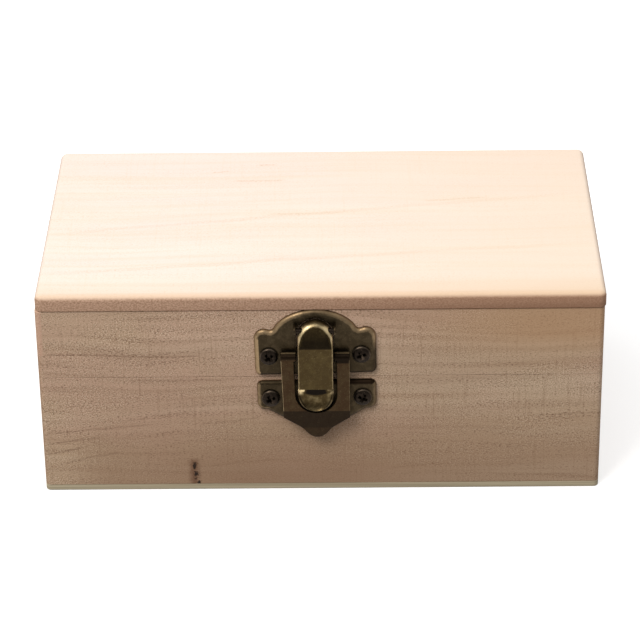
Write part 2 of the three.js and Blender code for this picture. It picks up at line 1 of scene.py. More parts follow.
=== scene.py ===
"""The looks of a small paulownia keepsake box with a duckbill latch in aged bronze.

Sizes are in millimetres in the words and tables below, and become metres where a mesh is made.
The fronts of the latch and the hinges are drawn in a face frame: x along the face, z up, s out of the wood.
"""

import math
from functools import partial

import bmesh
import bpy
import numpy as np
from mathutils import Matrix, Vector


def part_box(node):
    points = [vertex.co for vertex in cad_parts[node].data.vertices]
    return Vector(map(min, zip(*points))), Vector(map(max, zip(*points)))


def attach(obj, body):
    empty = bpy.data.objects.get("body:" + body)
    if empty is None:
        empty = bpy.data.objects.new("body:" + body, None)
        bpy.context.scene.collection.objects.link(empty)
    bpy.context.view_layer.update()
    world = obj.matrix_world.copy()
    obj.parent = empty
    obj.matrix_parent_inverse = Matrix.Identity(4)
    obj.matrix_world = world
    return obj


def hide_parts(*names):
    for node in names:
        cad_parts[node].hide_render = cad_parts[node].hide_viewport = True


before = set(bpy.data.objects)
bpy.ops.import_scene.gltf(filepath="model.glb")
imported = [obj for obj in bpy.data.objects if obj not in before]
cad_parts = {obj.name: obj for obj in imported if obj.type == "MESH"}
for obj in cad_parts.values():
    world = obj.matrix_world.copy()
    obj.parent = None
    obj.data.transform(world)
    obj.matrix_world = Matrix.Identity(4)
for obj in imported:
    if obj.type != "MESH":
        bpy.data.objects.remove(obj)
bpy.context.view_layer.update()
scene = bpy.context.scene

MM = 0.001

# Where the hardware is screwed on
FRONT_FACE = -37.5
BACK_FACE = 37.5
LATCH_X = -1.1
HINGE_X = 42.0
SEAM = 30.6
# The lid panel, where the photograph shows it beside the boards
PANEL_LEFT = -64.85
PANEL_FOOT = 48.0

# Latch
SEAT = 0.05
PLATE_FACE = 1.15
PLATE_EDGE = 0.3
RIM_WIDTH = 1.15
PLATE_HALF = 13.95
PLATE_CORNER = 1.4
CROWN_TOP = 48.3
CROWN_HALF = 10.5
CROWN_RISE = 8.0
LOBE_TOP = 43.55
LOBE_ROUND = 2.3
NOTCH_X = 9.9
NOTCH_DEPTH = 2.0
WINDOW_TOP = 46.45
UPPER_FOOT = 31.65
LOWER_HEAD = 29.9
WING_FOOT = 22.3
SLANT_TOP = 11.4
SLANT_FOOT = 20.1
WING_CORNER = 1.8
SHIELD_TIP = 15.7
SHIELD_HALF = 13.75
SHIELD_SHIFT = 0.25
KEEPER = {"half": 2.8, "low": 26.6, "high": 28.1, "front": 1.75}
LATCH_SCREW_X = 10.6
LATCH_SCREW_HOLE = 1.05
UPPER_SCREW_Z = 36.9
LOWER_SCREW_Z = 25.7
# The plates were screwed on by hand, a little out of true: degrees, right side up
CROWN_TILT = 1.1
SHIELD_TILT = 0.5
LEAF_HALF = 7.9
SLOT_HALF = 4.85
LEAF_PIN_Z = 37.15
LEAF_PIN_S = 2.5
LEAF_SHEET = 0.8
LEAF_KNUCKLE = 2.3
SLOT_TOP = 36.6
SLOT_FOOT = 22.9
LEAF_SHOULDER = 21.4
LEAF_BEND = 23.45
LEAF_TIP = 15.7
LEAF_SETBACK = 1.1
LEAF_PIN = 1.1
LEAF_BORE = 1.3
# It hangs towards the right and narrows a little to its point, and the tops of its arms carry painted shade
LEAF_LEAN = 0.25
LEAF_NARROWING = 0.03
ARM_SHADE_LINE = 36.0
LEVER_HALF = 4.05
LEVER_SHIFT = 0.1
EAR_INNER = 4.35
EAR_SHEET = 0.5
EAR_ROUND = 1.1
TONGUE_HALF = 3.15
LEVER_TOP = 46.45
LEVER_FOOT = 24.05
LEVER_PIN_Z = 44.25
LEVER_PIN_S = 3.0
LEVER_PIN = 1.2
LEVER_BORE = 1.4
LEVER_FACE = 5.2
LEVER_BACK = 3.25
LEVER_HEAD_FACE = 3.5
LEVER_HEAD_BACK = 1.5
HEAD_FOOT = 42.15
HEAD_SLANT = 1.8
BROW = 40.65
FACE_FOOT = 30.05
LEVER_ROUND = 0.55
HEAD_ROUND = 1.3
LEVER_SKIN = 0.8
LEDGE_DEPTH = 0.85
LEDGE_HEIGHT = 1.5
SCOOP_DEPTH = 1.45
SCOOP_HALF = 4.0
SCOOP_LENGTH = 5.95
CATCH = {"half": 1.7, "low": 24.85, "high": 26.25, "reach": 2.1}

# Hinges
HINGE_HALF = 10.0
HINGE_HEIGHT = 9.0
HINGE_SHEET = 0.9
BARREL = 3.0
BARREL_S = 1.65
HINGE_PIN = 1.4
MIDDLE_HALF = 3.6
HINGE_PLAY = 0.15
HINGE_SCREW_X = 6.5
HINGE_SCREW_RISE = 5.6


# Shapes


def arc(x, y, rx, ry, start, end, steps):
    """Part of an ellipse, from start to end in degrees."""
    turns = np.radians(np.linspace(start, end, steps + 1))
    return np.c_[x + rx * np.cos(turns), y + ry * np.sin(turns)]


def quarter(steps):
    """Turns from nought to a right angle, in radians."""
    return np.radians(np.linspace(0, 90, steps + 1))


def bend(*knots, steps):
    """A Bezier curve through its first and last knots, of any degree."""
    t = np.linspace(0, 1, steps + 1)[:, None]
    order = len(knots) - 1
    shares = [math.comb(order, k) * t**k * (1 - t) ** (order - k) for k in range(order + 1)]
    return sum(share * np.array(knot, float) for share, knot in zip(shares, knots))


def line(start, end, steps):
    return np.linspace(np.array(start, float), np.array(end, float), steps + 1)


def outline(*runs):
    """Runs of points made one closed outline, without the points that meet."""
    points = np.vstack(runs)
    apart = np.linalg.norm(points - np.roll(points, 1, axis=0), axis=1) > 1e-4
    return points[apart]


def mirrored(*runs):
    """Runs from the foot up the right side, closed by their mirror image."""
    half = np.vstack(runs)
    return outline(half, half[::-1] * [-1, 1])


def rounded_box(x0, x1, y0, y1, radii, steps=8):
    """Corners in turn: low left, low right, high right, high left."""
    a, b, c, d = (max(r, 0.02) for r in radii)
    return outline(
        arc(x0 + a, y0 + a, a, a, 180, 270, steps),
        arc(x1 - b, y0 + b, b, b, 270, 360, steps),
        arc(x1 - c, y1 - c, c, c, 0, 90, steps),
        arc(x0 + d, y1 - d, d, d, 90, 180, steps),
    )


def drawn_in(points, inset):
    """An outline moved inwards by the inset, mitred at its corners."""
    if not inset:
        return points
    ahead = np.roll(points, -1, axis=0) - points
    ahead /= np.linalg.norm(ahead, axis=1)[:, None]
    inward = np.c_[-ahead[:, 1], ahead[:, 0]]
    before = np.roll(inward, 1, axis=0)
    share = np.maximum(1 + (inward * before).sum(1), 0.5)
    return points + inset * (inward + before) / share[:, None]


def tilted(points, pivot, degrees):
    """An outline turned about a height on its middle line, right side up."""
    c, n = math.cos(math.radians(degrees)), math.sin(math.radians(degrees))
    x, z = points[:, 0], points[:, 1] - pivot
    return np.c_[c * x - n * z, pivot + n * x + c * z]


def on_latch(x, z, s):
    return (LATCH_X + x, FRONT_FACE - s, z)


def on_latch_side(s, z, x):
    """For outlines drawn from the side of the latch."""
    return on_latch(x, z, s)


def on_hinge(side):
    return lambda x, z, s: (side * HINGE_X - x, BACK_FACE + s, z)


def as_is(x, y, z):
    return (x, y, z)


def portion(value, low, high):
    """How far a value has come from low to high, between nought and one."""
    return min(max((value - low) / (high - low), 0.0), 1.0)


def in_scene(name, data):
    """A new object with this data."""
    holder = bpy.data.objects.new(name, data)
    scene.collection.objects.link(holder)
    return holder


def lofted(name, rings, place, material, wear_and_light=None):
    """Rings of (x, y, height) with equally many points, skinned in turn and closed by a face at both ends.
    Each ring may carry a value of wear and painted light, from -1, deep patina and painted shade, to 1, polished
    metal and painted highlight."""
    count = len(rings[0])
    points = [[c * MM for c in place(*p)] for ring in rings for p in ring]
    faces = []
    for low in range(0, len(points) - count, count):
        high = low + count
        for i in range(count):
            j = (i + 1) % count
            faces.append((low + i, low + j, high + j, high + i))
    faces.append(tuple(range(count))[::-1])
    faces.append(tuple(range(len(points) - count, len(points))))
    mesh = bpy.data.meshes.new(name)
    mesh.from_pydata(points, [], faces)
    if wear_and_light is not None:
        values = np.repeat(wear_and_light, count).astype(np.float32)
        mesh.attributes.new("wear_and_light", "FLOAT", "POINT").data.foreach_set("value", values)
    mesh.materials.append(material)
    work = bmesh.new()
    work.from_mesh(mesh)
    bmesh.ops.recalc_face_normals(work, faces=work.faces)
    work.to_mesh(mesh)
    work.free()
    return in_scene(name, mesh)


def rounded_wall(low, high, foot, head, steps):
    """Insets and heights up a wall whose edges are rounded by foot and head."""
    profile = [(foot * (1 - math.sin(t)), low + foot * (1 - math.cos(t))) for t in quarter(steps)]
    return profile + [(head * (1 - math.cos(t)), high - head * (1 - math.sin(t))) for t in quarter(steps)]


def ring(points, height):
    return np.c_[points, np.full(len(points), height)]


def slab(name, points, low, high, place, material, edge=0.0, wear_and_light=None):
    """An outline made a plate from low to high, its edges rounded by edge."""
    if not edge:
        return lofted(name, [ring(points, low), ring(points, high)], place, material, wear_and_light=[0, 0])
    steps = 3
    rings = [ring(drawn_in(points, inset), height) for inset, height in rounded_wall(low, high, edge, edge, steps)]
    rub_and_sheen = [0.0] * (steps + 1) + [1.0] * steps + [0.0]
    return lofted(name, rings, place, material, wear_and_light=rub_and_sheen if wear_and_light is None else [wear_and_light] * len(rings))


def turned(name, profile, place, material, centre=(0, 0), sides=48, wear_and_light=0.0):
    """A profile of (radius, height) turned about the line that stands on centre."""
    turns = np.radians(np.arange(sides) * 360 / sides)
    unit = np.c_[np.cos(turns), np.sin(turns)]
    rings = [ring(np.array(centre) + max(r, 1e-3) * unit, h) for r, h in profile]
    rub_and_sheen = [wear_and_light(r, h) for r, h in profile] if callable(wear_and_light) else [wear_and_light] * len(profile)
    return lofted(name, rings, place, material, wear_and_light=rub_and_sheen)


def rod(name, radius, left, right, z, s, place, material, edge=0.0):
    """A round bar along x, with its ends chamfered by edge."""
    along = lambda a, b, x: place(x, z + a, s + b)
    profile = [(radius, left), (radius, right)]
    if edge:
        profile = [(radius - edge, left), (radius, left + edge), (radius, right - edge), (radius - edge, right)]
    return turned(name, profile, along, material, sides=40)


def tube(radius, bore, left, right, z, s, place, material):
    """A rolled knuckle along x, open for its pin."""
    knuckle = rod("knuckle", radius, left, right, z, s, place, material, edge=0.12)
    return combined(knuckle, [rod("bore", bore, left - 1, right + 1, z, s, place, material)], "DIFFERENCE")


def settled(piece):
    """The piece with its modifiers made part of its mesh."""
    bpy.context.view_layer.update()
    mesh = bpy.data.meshes.new_from_object(piece.evaluated_get(bpy.context.evaluated_depsgraph_get()))
    piece.modifiers.clear()
    piece.data = mesh
    return piece


def combined(piece, others, how):
    """The piece joined with or cut by others, which are used up."""
    for other in others:
        step = piece.modifiers.new(how.lower(), "BOOLEAN")
        step.operation = how
        step.solver = "EXACT"
        step.object = other
    settled(piece)
    for other in others:
        bpy.data.objects.remove(other)
    return piece


def joined(name, pieces):
    """Pieces of one body made one mesh."""
    with bpy.context.temp_override(active_object=pieces[0], selected_editable_objects=pieces):
        bpy.ops.object.join()
    pieces[0].name = name
    return pieces[0]


def sliced(piece, cuts):
    """Edges where planes cross the piece: (point, normal) in scene coordinates, the point in millimetres."""
    work = bmesh.new()
    work.from_mesh(piece.data)
    for point, normal in cuts:
        everything = work.verts[:] + work.edges[:] + work.faces[:]
        bmesh.ops.bisect_plane(
            work, geom=everything, dist=1e-7, plane_co=Vector(point) * MM, plane_no=Vector(normal)
        )
    work.to_mesh(piece.data)
    work.free()


def moved(piece, rule):
    """Every point of the piece, in face frame millimetres, put where the rule says."""
    for vertex in piece.data.vertices:
        x = vertex.co.x / MM - LATCH_X
        z = vertex.co.z / MM
        s = FRONT_FACE - vertex.co.y / MM
        vertex.co = Vector(on_latch(*rule(x, z, s))) * MM


def rubbed_and_lit(piece, rule):
    """How far each point of the piece shows wear and painted light, by a rule in the face frame that also gets its
    first value.
    """
    layer = piece.data.attributes["wear_and_light"].data
    for vertex in piece.data.vertices:
        x, y, z = vertex.co / MM
        value = layer[vertex.index]
        value.value = rule(x - LATCH_X, z, FRONT_FACE - y, value.value)


def finish_piece(piece, body, slot, *nodes, angle=32):
    """Smooth but for its real edges, riding on its body in place of its CAD nodes."""
    mesh = piece.data
    mesh.polygons.foreach_set("use_smooth", [True] * len(mesh.polygons))
    mesh.set_sharp_from_angle(angle=math.radians(angle))
    # Flat faces keep flat normals right up to the roundings beside them
    step = piece.modifiers.new("normals", "WEIGHTED_NORMAL")
    step.weight = 100
    step.keep_sharp = True
    settled(piece)
    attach(piece, body)
    if nodes:
        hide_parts(*nodes)


# Materials


def linear(hex_colour):
    """An sRGB hex colour as the linear colour that a socket takes."""
    channels = [int(hex_colour[i : i + 2], 16) / 255 for i in (1, 3, 5)]
    return [c / 12.92 if c <= 0.04045 else ((c + 0.055) / 1.055) ** 2.4 for c in channels] + [1.0]


# The nodes used most: type, settings, the inputs that take values in turn, and the output.
# A step runs smoothly from low to high: value, low, high, and what to give at each, nought and one if unsaid
KINDS = {
    "mix": ("ShaderNodeMix", {"data_type": "RGBA"}, (0, 6, 7), 2),
    "step": ("ShaderNodeMapRange", {"interpolation_type": "SMOOTHSTEP"}, range(5), 0),
    "xyz": ("ShaderNodeCombineXYZ", {}, range(3), 0),
}
SUMS = {"plus": "ADD", "minus": "SUBTRACT", "times": "MULTIPLY", "times_plus": "MULTIPLY_ADD"}
SUMS |= {"larger": "MAXIMUM", "without_sign": "ABSOLUTE"}
KINDS |= {word: ("ShaderNodeMath", {"operation": how}, range(3), 0) for word, how in SUMS.items()}


def add_node(tree, kind, *values, out=0, **settings):
    """Adds a node with its settings and its inputs, in turn or by name. Returns an output, or all for None."""
    name, fixed, inputs, out = KINDS.get(kind, (kind, {}, range(len(values)), out))
    node = tree.nodes.new(name)
    for key, value in {**fixed, **settings}.items():
        setattr(node, key, value)
    by_name = values and isinstance(values[0], dict)
    for key, value in values[0].items() if by_name else zip(inputs, values):
        if isinstance(value, bpy.types.NodeSocket):
            tree.links.new(value, node.inputs[key])
        else:
            node.inputs[key].default_value = linear(value) if isinstance(value, str) else value
    return node.outputs if out is None else node.outputs[out]


def new_material(name, **fixed):
    """A material, its Principled shader with constant values on its own sockets, and what adds its nodes."""
    material = bpy.data.materials.new(name)
    material.use_nodes = True
    shader = material.node_tree.nodes["Principled BSDF"]
    for key, value in fixed.items():
        shader.inputs[key.replace("_", " ")].default_value = value
    return material, shader, partial(add_node, material.node_tree)


def feed(shader, **outputs):
    """Links outputs to the shader's sockets of the same names."""
    for key, output in outputs.items():
        shader.id_data.links.new(output, shader.inputs[key.replace("_", " ")])


def millimetres(add):
    """Object coordinates counted in millimetres."""
    place = add("ShaderNodeTexCoord", out="Object")
    return add("ShaderNodeVectorMath", {0: place, "Scale": 1 / MM}, operation="SCALE")


def pattern(add, vector, spacing, detail=2.0, rough=0.5, offset=(0, 0, 0)):
    """Noise with a spacing in millimetres along each axis."""
    scaled = add("ShaderNodeMapping", {"Vector": vector, "Scale": [1 / gap for gap in spacing], "Location": offset})
    return add("ShaderNodeTexNoise", {"Vector": scaled, "Scale": 1.0, "Detail": detail, "Roughness": rough})


def stained(add, tone, colour, *steps):
    """The tone with a colour mixed over it, as far as all the steps allow."""
    share = add("step", *steps[0])
    for step in steps[1:]:
        share = add("times", share, add("step", *step))
    return add("mix", share, tone, colour)


def streak_mask(add, along, across, streaks):
    """Lines drawn in the wood: (start along, start across, end along, end across, half width, strength)."""
    total = None
    for a0, c0, a1, c1, half, strength in streaks:
        slope = (c1 - c0) / (a1 - a0)
        middle = add("times_plus", along, slope, c0 - slope * a0)
        away = add("without_sign", add("minus", across, middle))
        line_mask = add("step", away, half * 0.25, half, strength, 0.0)
        soft = 0.18 * (a1 - a0)
        begins = add("step", along, a0, a0 + soft)
        ends = add("step", along, a1 - soft, a1, 1.0, 0.0)
        mask = add("times", line_mask, add("times", begins, ends))
        total = mask if total is None else add("larger", total, mask)
    return total


def paulownia(name, axis, tones, figure, streaks=(), scar=False, sawn=None):
    """Paulownia, planed and sanded bare. Light even wood with wavy growth lines, short open pores
    along the grain and soft clouds of pinker and greener tone. The sanded face is matt."""
    material, shader, add = new_material(name, Roughness=0.75, Specular_IOR_Level=0.25)
    vector = millimetres(add)
    x, y, z = add("ShaderNodeSeparateXYZ", vector, out=None)
    # Grain runs along x, or along y on the side boards. On the lid panel the growth lines lie across y
    along = y if axis == "side" else x
    across = y if axis == "panel" else z
    depth = {"front": y, "side": x, "panel": z}[axis]
    warm, cool, deep, pore, pale = tones
    lines, pores, nap, bands = figure
    # Slow waves of the growth lines, 55 to 70 mm long
    slow = pattern(add, vector, (55, 55, 18) if axis != "panel" else (70, 24, 30), 1.0)
    level = add("times_plus", slow, 10.0, across)
    grain = add("xyz", along, level, depth)
    # Clouds of tone 38 mm across and bands of early wood 8 mm wide
    clouds = pattern(add, vector, (38, 38, 20), offset=(2.3, 0.7, 4.1))
    band = pattern(add, grain, (150, 8, 22), offset=(3, 1, 5))
    tone = add("mix", add("step", clouds, 0.38, 0.62), cool, warm)
    tone = stained(add, tone, pale, (band, 0.42, 0.68, 0.0, bands))
    # Growth lines about 2 mm apart, drawn 40 times as long
    growth = pattern(add, grain, (80, 2.1, 9), 4.0, 0.62)
    tone = stained(add, tone, deep, (growth, 0.42, 0.72, 0.0, lines))
    # Pores: dashes 0.6 mm long and 0.22 mm wide in rows, drawn twice as wide as real ones so that they show
    dashes = pattern(add, grain, (0.6, 0.22, 0.5), 1.0, 0.4)
    crowd = pattern(add, grain, (24, 1.3, 9), 3.0, 0.55, offset=(7, 3, 1))
    level = add("times_plus", crowd, -0.42, 0.79)
    pore_mask = add("step", add("minus", dashes, level), 0.0, 0.1)
    tone = add("mix", add("times", pore_mask, pores), tone, pore)
    # Nap of the sanded fibres, 0.25 mm, with lighter and darker ends
    fibres = pattern(add, grain, (0.3, 0.24, 0.3), 1.0, 0.6, offset=(3, 9, 2))
    # Nap stands in patches 7 mm wide and lies down between them
    patches = pattern(add, grain, (22, 7, 12), offset=(1, 8, 3))
    standing = (patches, 0.36, 0.6, 0.35 * nap, nap)
    tone = stained(add, tone, deep, (fibres, 0.5, 0.74), standing)
    tone = stained(add, tone, pale, (fibres, 0.5, 0.26), standing)
    # Faint marks of the saw, 0.5 mm wide, square to the grain
    marks = pattern(add, vector, (0.5, 0.5, 16) if axis != "panel" else (0.6, 18, 9), 1.0)
    tone = stained(add, tone, deep, (marks, 0.55, 0.8, 0.0, 0.38 * nap))
    if streaks:
        ripple = pattern(add, vector, (14, 14, 14))
        rippled = add("plus", across, add("times_plus", ripple, 2.4, -1.2))
        broken = add("times", streak_mask(add, along, rippled, streaks), add("step", dashes, 0.3, 0.6))
        tone = add("mix", broken, tone, pore)
    # The panel's sawn edge, and painted shade on the panel and its edge towards the right end
    if sawn:
        # The sanded face is darker and more ochre towards its right end, painted shade away from the lamp; it also
        # turns to ochre towards its front edge, and fast at the edge itself
        tone = stained(add, tone, "#f3dec6", (x, -45, 70, 0.0, 0.55))
        tone = stained(add, tone, "#e6c8a4", (y, -26, -37.3), (x, -60, 60, 0.26, 0.46))
        tone = stained(add, tone, "#ddb792", (y, -35.4, -37.4, 0.0, 0.5))
        # The edge of the panel shows sawn wood, darker and pinker than the sanded faces, and darker still at the
        # right with painted shade
        ends = add("step", add("without_sign", x), 63, 64)
        outer = add("larger", ends, add("step", add("without_sign", y), 36, 36.5))
        edge = add("times", outer, add("step", z, 51.75, 50.9))
        tone = add("mix", edge, tone, sawn_tone(add, x, z, vector, sawn))
    # The front boards' marks: a pinker strip, tone patches, the bark scar, and painted shade and shadow
    if scar:
        # A pinker strip at the left end of the lid's front board, and painted shade on the corner below it
        front = (y, -36.4, -36.9)
        tone = stained(add, tone, "#d9ae98", (x, -63.2, -63.9), (z, 36.2, 36.8, 0.0, 0.5), front)
        tone = stained(add, tone, deep, (x, -64.1, -65.0), (z, 36.8, 35.8, 0.0, 0.6), front)
        # The boards are redder towards the right end of the lid
        tone = stained(add, tone, "#caa079", (x, 5, 55), (z, 32, 42, 0.0, 0.6))
        # Painted shadow of the latch, falling to its right
        tone = stained(add, tone, deep, (x, 8, 26, 0.0, 0.13))
        # Darker towards the foot but not at the far left, most under the latch, where it is partly painted shadow of
        # the latch and partly soiling
        inner = add("without_sign", add("plus", x, 8.0))
        share = add("plus", add("step", x, -63, -48, 0.1, 0.85), add("step", inner, 10, 36, 0.4, 0.0))
        foot = add("times", share, add("step", z, 27, 2, 0.0, 0.62))
        tone = add("mix", foot, tone, deep)
        # The middle of the boards is a little greyer below a height of about 40 mm
        tone = stained(add, tone, deep, (inner, 70, 30), (z, 42, 38, 0.0, 0.14))
        tone = bark_scar(add, x, z, vector, tone)
    height = add("minus", add("times", fibres, 0.6), pore_mask)
    bump = add("ShaderNodeBump", {"Height": height, "Strength": 0.3, "Distance": 0.06 * MM})
    feed(shader, Base_Color=tone, Normal=bump)
    return material


def sawn_tone(add, x, z, vector, tones):
    """The flecked end and edge of a sawn board, redder towards its right end and darkened there by painted shade."""
    light, dark, far = tones
    fleck = pattern(add, vector, (0.45, 0.45, 0.3), 1.0, 0.6, offset=(1, 2, 3))
    tone = add("mix", add("step", fleck, 0.3, 0.7), light, dark)
    tone = stained(add, tone, far, (x, -40, 62, 0.0, 0.62))
    # Painted shade darkens its foot, most at the right
    return stained(add, tone, "#6d4c36", (z, 50.2, 48.6), (x, -40, 62, 0.06, 0.3))


def bark_scar(add, x, z, vector, tone):
    """A short bark scar near the foot of the front board: a brown smear with three black flecks in it."""
    wander = pattern(add, vector, (1.1, 1.1, 0.8), 3.0, 0.65)
    across = add("without_sign", add("plus", x, add("times_plus", wander, 1.8, 28.9)))
    tone = stained(add, tone, "#6e4c37", (across, 0.2, 1.9, 0.75, 0.0), (z, 7.4, 9.0, 1.0, 0.0))
    ragged = add("times_plus", wander, 2.4, -1.2)
    for fleck_x, fleck_z, half in ((-29.7, 6.6, 0.42), (-29.4, 4.3, 0.6), (-28.8, 2.4, 0.35)):
        flat = add("xyz", x, 0.0, add("times", z, 0.5))
        spot = (fleck_x, 0.0, fleck_z * 0.5)
        away = add("ShaderNodeVectorMath", flat, spot, out="Value", operation="DISTANCE")
        tone = stained(add, tone, "#1d110a", (add("plus", away, ragged), 0.5 * half, 1.2 * half, 0.95, 0.0))
    return tone


def poplar_ply(name):
    """Thin poplar plywood, cut and left bare. Its edge is paler and greener than the boards."""
    material, shader, add = new_material(name, Roughness=0.78, Specular_IOR_Level=0.3)
    vector = millimetres(add)
    # Plies 0.25 mm thick at the edge, grain 40 times as long as wide on the face
    fibres = pattern(add, vector, (48, 1.2, 0.25), 4.0, 0.6)
    tone = add("mix", add("step", fibres, 0.3, 0.7), "#cbbfa3", "#aa9d84")
    feed(shader, Base_Color=tone)
    return material


def aged_bronze(name, field, spots, bright, deep, rough=0.42, speckle=0.3):
    """Pressed steel sheet with a bronze plating, darkened in a bath and abraded at its raised edges.
    The field is dark and mottled. Its value of wear and painted light mixes in the bright colour above nought, for
    polished edges and painted highlights, and the deep colour below nought, for patina in recesses, painted shade
    and painted dark reflections."""
    material, shader, add = new_material(name, Metallic=0.92)
    vector = millimetres(add)
    mottle = pattern(add, vector, (1.4, 1.4, 1.4), 4.0, 0.6)
    # Freckles 0.3 mm across, where the bath has bitten
    freckles = pattern(add, vector, (0.3, 0.3, 0.3), 2.0, 0.6, offset=(4, 4, 4))
    tone = add("mix", add("step", mottle, 0.4, 0.66), field, spots)
    # The attribute gives deep patina and painted shade below nought, and polished metal and painted highlights above
    # it
    wear_and_light = add("ShaderNodeAttribute", out="Fac", attribute_name="wear_and_light")
    sunk = add("times", wear_and_light, -1.0, use_clamp=True)
    tone = add("mix", sunk, tone, deep)
    flecked = add("times", add("step", freckles, 0.58, 0.8, 0.0, speckle), add("minus", 1.0, sunk))
    tone = add("mix", flecked, tone, bright)
    patchy = add("times_plus", mottle, 0.5, -0.25)
    rubbed_and_lit = add("step", add("plus", wear_and_light, patchy), 0.15, 1.0)
    tone = add("mix", rubbed_and_lit, tone, bright)
    matt = add("step", freckles, 0.2, 0.8, rough - 0.08, rough + 0.12)
    height = add("plus", mottle, add("times", freckles, 0.6))
    bump = add("ShaderNodeBump", {"Height": height, "Strength": 0.35, "Distance": 0.05 * MM})
    feed(shader, Base_Color=tone, Roughness=matt, Normal=bump)
    return material


def build_materials():
    front_lines = [
        (-66, 36.6, -24, 35.7, 0.38, 0.55),
        (-46, 29.8, -20, 29.4, 0.35, 0.35),
        (-66, 15.4, -38, 18.2, 0.4, 0.4),
        (-65, 12.6, -50, 14.6, 0.4, 0.4),
        (-66, 9.6, -54, 12.0, 0.4, 0.5),
        (-62, 7.0, -46, 10.4, 0.4, 0.4),
        (-28, 6.2, -8, 8.4, 0.4, 0.35),
        (-29, 17.6, -13, 19.8, 0.35, 0.3),
        (14, 5.8, 30, 6.9, 0.4, 0.25),
        (38, 4.0, 62, 3.0, 0.4, 0.3),
        (48, 19.3, 68, 20.3, 0.3, 0.45),
    ]
    top_lines = [
        (-72, -8.0, 74, 14.6, 1.1, 0.16),
        (-74, -27.8, 74, -11.6, 1.1, 0.16),
        (-13, 2.4, 7, 3.6, 0.7, 0.3),
        (24, 9.4, 41, 10.8, 0.7, 0.3),
        (-22, 20.6, -8, 21.0, 0.6, 0.3),
        (-16, 29.0, -11, 29.4, 0.5, 0.35),
        (-27, 25.5, -22, 25.9, 0.4, 0.3),
    ]
    # The boards take darker tones than the lid panel: partly their own tone, partly painted shade of faces that
    # stand out of the overhead light
    shaded_wall_tones = ("#cfae97", "#caae92", "#9a7a61", "#64442e", "#ecd8be")
    top_tones = ("#f8e5db", "#f6e6da", "#e9cfae", "#bd9a5e", "#fbeee2")
    wall_figure = (0.34, 0.65, 1.0, 0.4)
    # The sawn edge's light and dark flecks, and a redder tone for its right end, darkened there by painted shade
    sawn = ("#d2af96", "#ac8870", "#a3795e")
    return {
        "front": paulownia("paulownia_front_boards", "front", shaded_wall_tones, wall_figure, front_lines, scar=True),
        "side": paulownia("paulownia_side_boards", "side", shaded_wall_tones, wall_figure),
        "rear": paulownia("paulownia_back_boards", "front", shaded_wall_tones, wall_figure),
        "panel": paulownia("paulownia_lid_panel", "panel", top_tones, (0.24, 0.16, 0.3, 0.4), top_lines, sawn=sawn),
        "ply": poplar_ply("poplar_plywood"),
        "plate": aged_bronze("aged_bronze_plate", "#302719", "#3c3223", "#8d775a", "#20150a"),
        "leaf": aged_bronze("aged_bronze_leaf", "#332415", "#3a2d1c", "#9a8768", "#140c04", 0.38),
        "lever": aged_bronze("rubbed_bronze_lever", "#3a2e19", "#443820", "#d6c094", "#120c06", 0.34, 0.1),
        "screw": aged_bronze("darkened_steel_screws", "#1d1610", "#282019", "#7a6c5c", "#0e0a07", 0.38),
    }


MATERIALS = build_materials()


# Boards


def board(node, name, body, material, slot, radii, foot_round, head_round):
    """A board in the box of its CAD node, rounded in plan by radii and at its foot and head."""
    low, high = (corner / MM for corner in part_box(node))
    if node == "lid_top_panel":
        low.x, low.z = PANEL_LEFT, PANEL_FOOT
    elif body == "lid":
        high.z = PANEL_FOOT - SEAT

    def layer(i, height):
        plan = rounded_box(low.x + i, high.x - i, low.y + i, high.y - i, [r - i for r in radii])
        return ring(plan, height)

    rings = [layer(*level) for level in rounded_wall(low.z, high.z, foot_round, head_round, 6)]
    finish_piece(lofted(name, rings, as_is, material), body, slot, node, angle=40)


def make_boards():
    corner = 1.2
    soft = 0.12
    # Boards meet at the seam with crisper edges
    crisp = 0.06
    front = [corner, corner, soft, soft]
    back = [soft, soft, corner, corner]
    plain = [soft] * 4
    wall, side, rear = (MATERIALS[key] for key in ("front", "side", "rear"))
    sides = {"front": (wall, front), "back": (rear, back), "left": (side, plain), "right": (side, plain)}
    for place, (wood, corners) in sides.items():
        board(f"{place}_wall", f"{place}_board", "body", wood, "side_wood", corners, soft, crisp)
    for place, (wood, corners) in sides.items():
        board(f"lid_{place}_rail", f"lid_{place}_board", "lid", wood, "side_wood", corners, crisp, soft)
    board("lid_top_panel", "lid_panel_board", "lid", MATERIALS["panel"], "top_wood", [1.7] * 4, 0.4, 1.3)
    board("bottom_panel", "bottom_ply", "body", MATERIALS["ply"], "bottom_wood", [corner] * 4, 0.3, 0.05)


# Latch


def crown_outline():
    middle = CROWN_TOP - CROWN_RISE
    start = math.degrees(math.acos((NOTCH_X - NOTCH_DEPTH / 2) / CROWN_HALF))
    crown = arc(0, middle, CROWN_HALF, CROWN_RISE, start, 90, 36)
    lobe_end = PLATE_HALF - LOBE_ROUND
    knots = [(lobe_end, LOBE_TOP), (lobe_end - 1.05, LOBE_TOP), (NOTCH_X, LOBE_TOP - 1.15), crown[0]]
    notch = bend(*knots, steps=12)
    points = mirrored(
        line((0, UPPER_FOOT), (PLATE_HALF - PLATE_CORNER, UPPER_FOOT), 12),
        arc(PLATE_HALF - PLATE_CORNER, UPPER_FOOT + PLATE_CORNER, PLATE_CORNER, PLATE_CORNER, 270, 360, 10),
        arc(PLATE_HALF - LOBE_ROUND, LOBE_TOP - LOBE_ROUND, LOBE_ROUND, LOBE_ROUND, 0, 90, 12),
        notch,
        crown,
    )
    return tilted(points, (UPPER_FOOT + CROWN_TOP) / 2, CROWN_TILT)


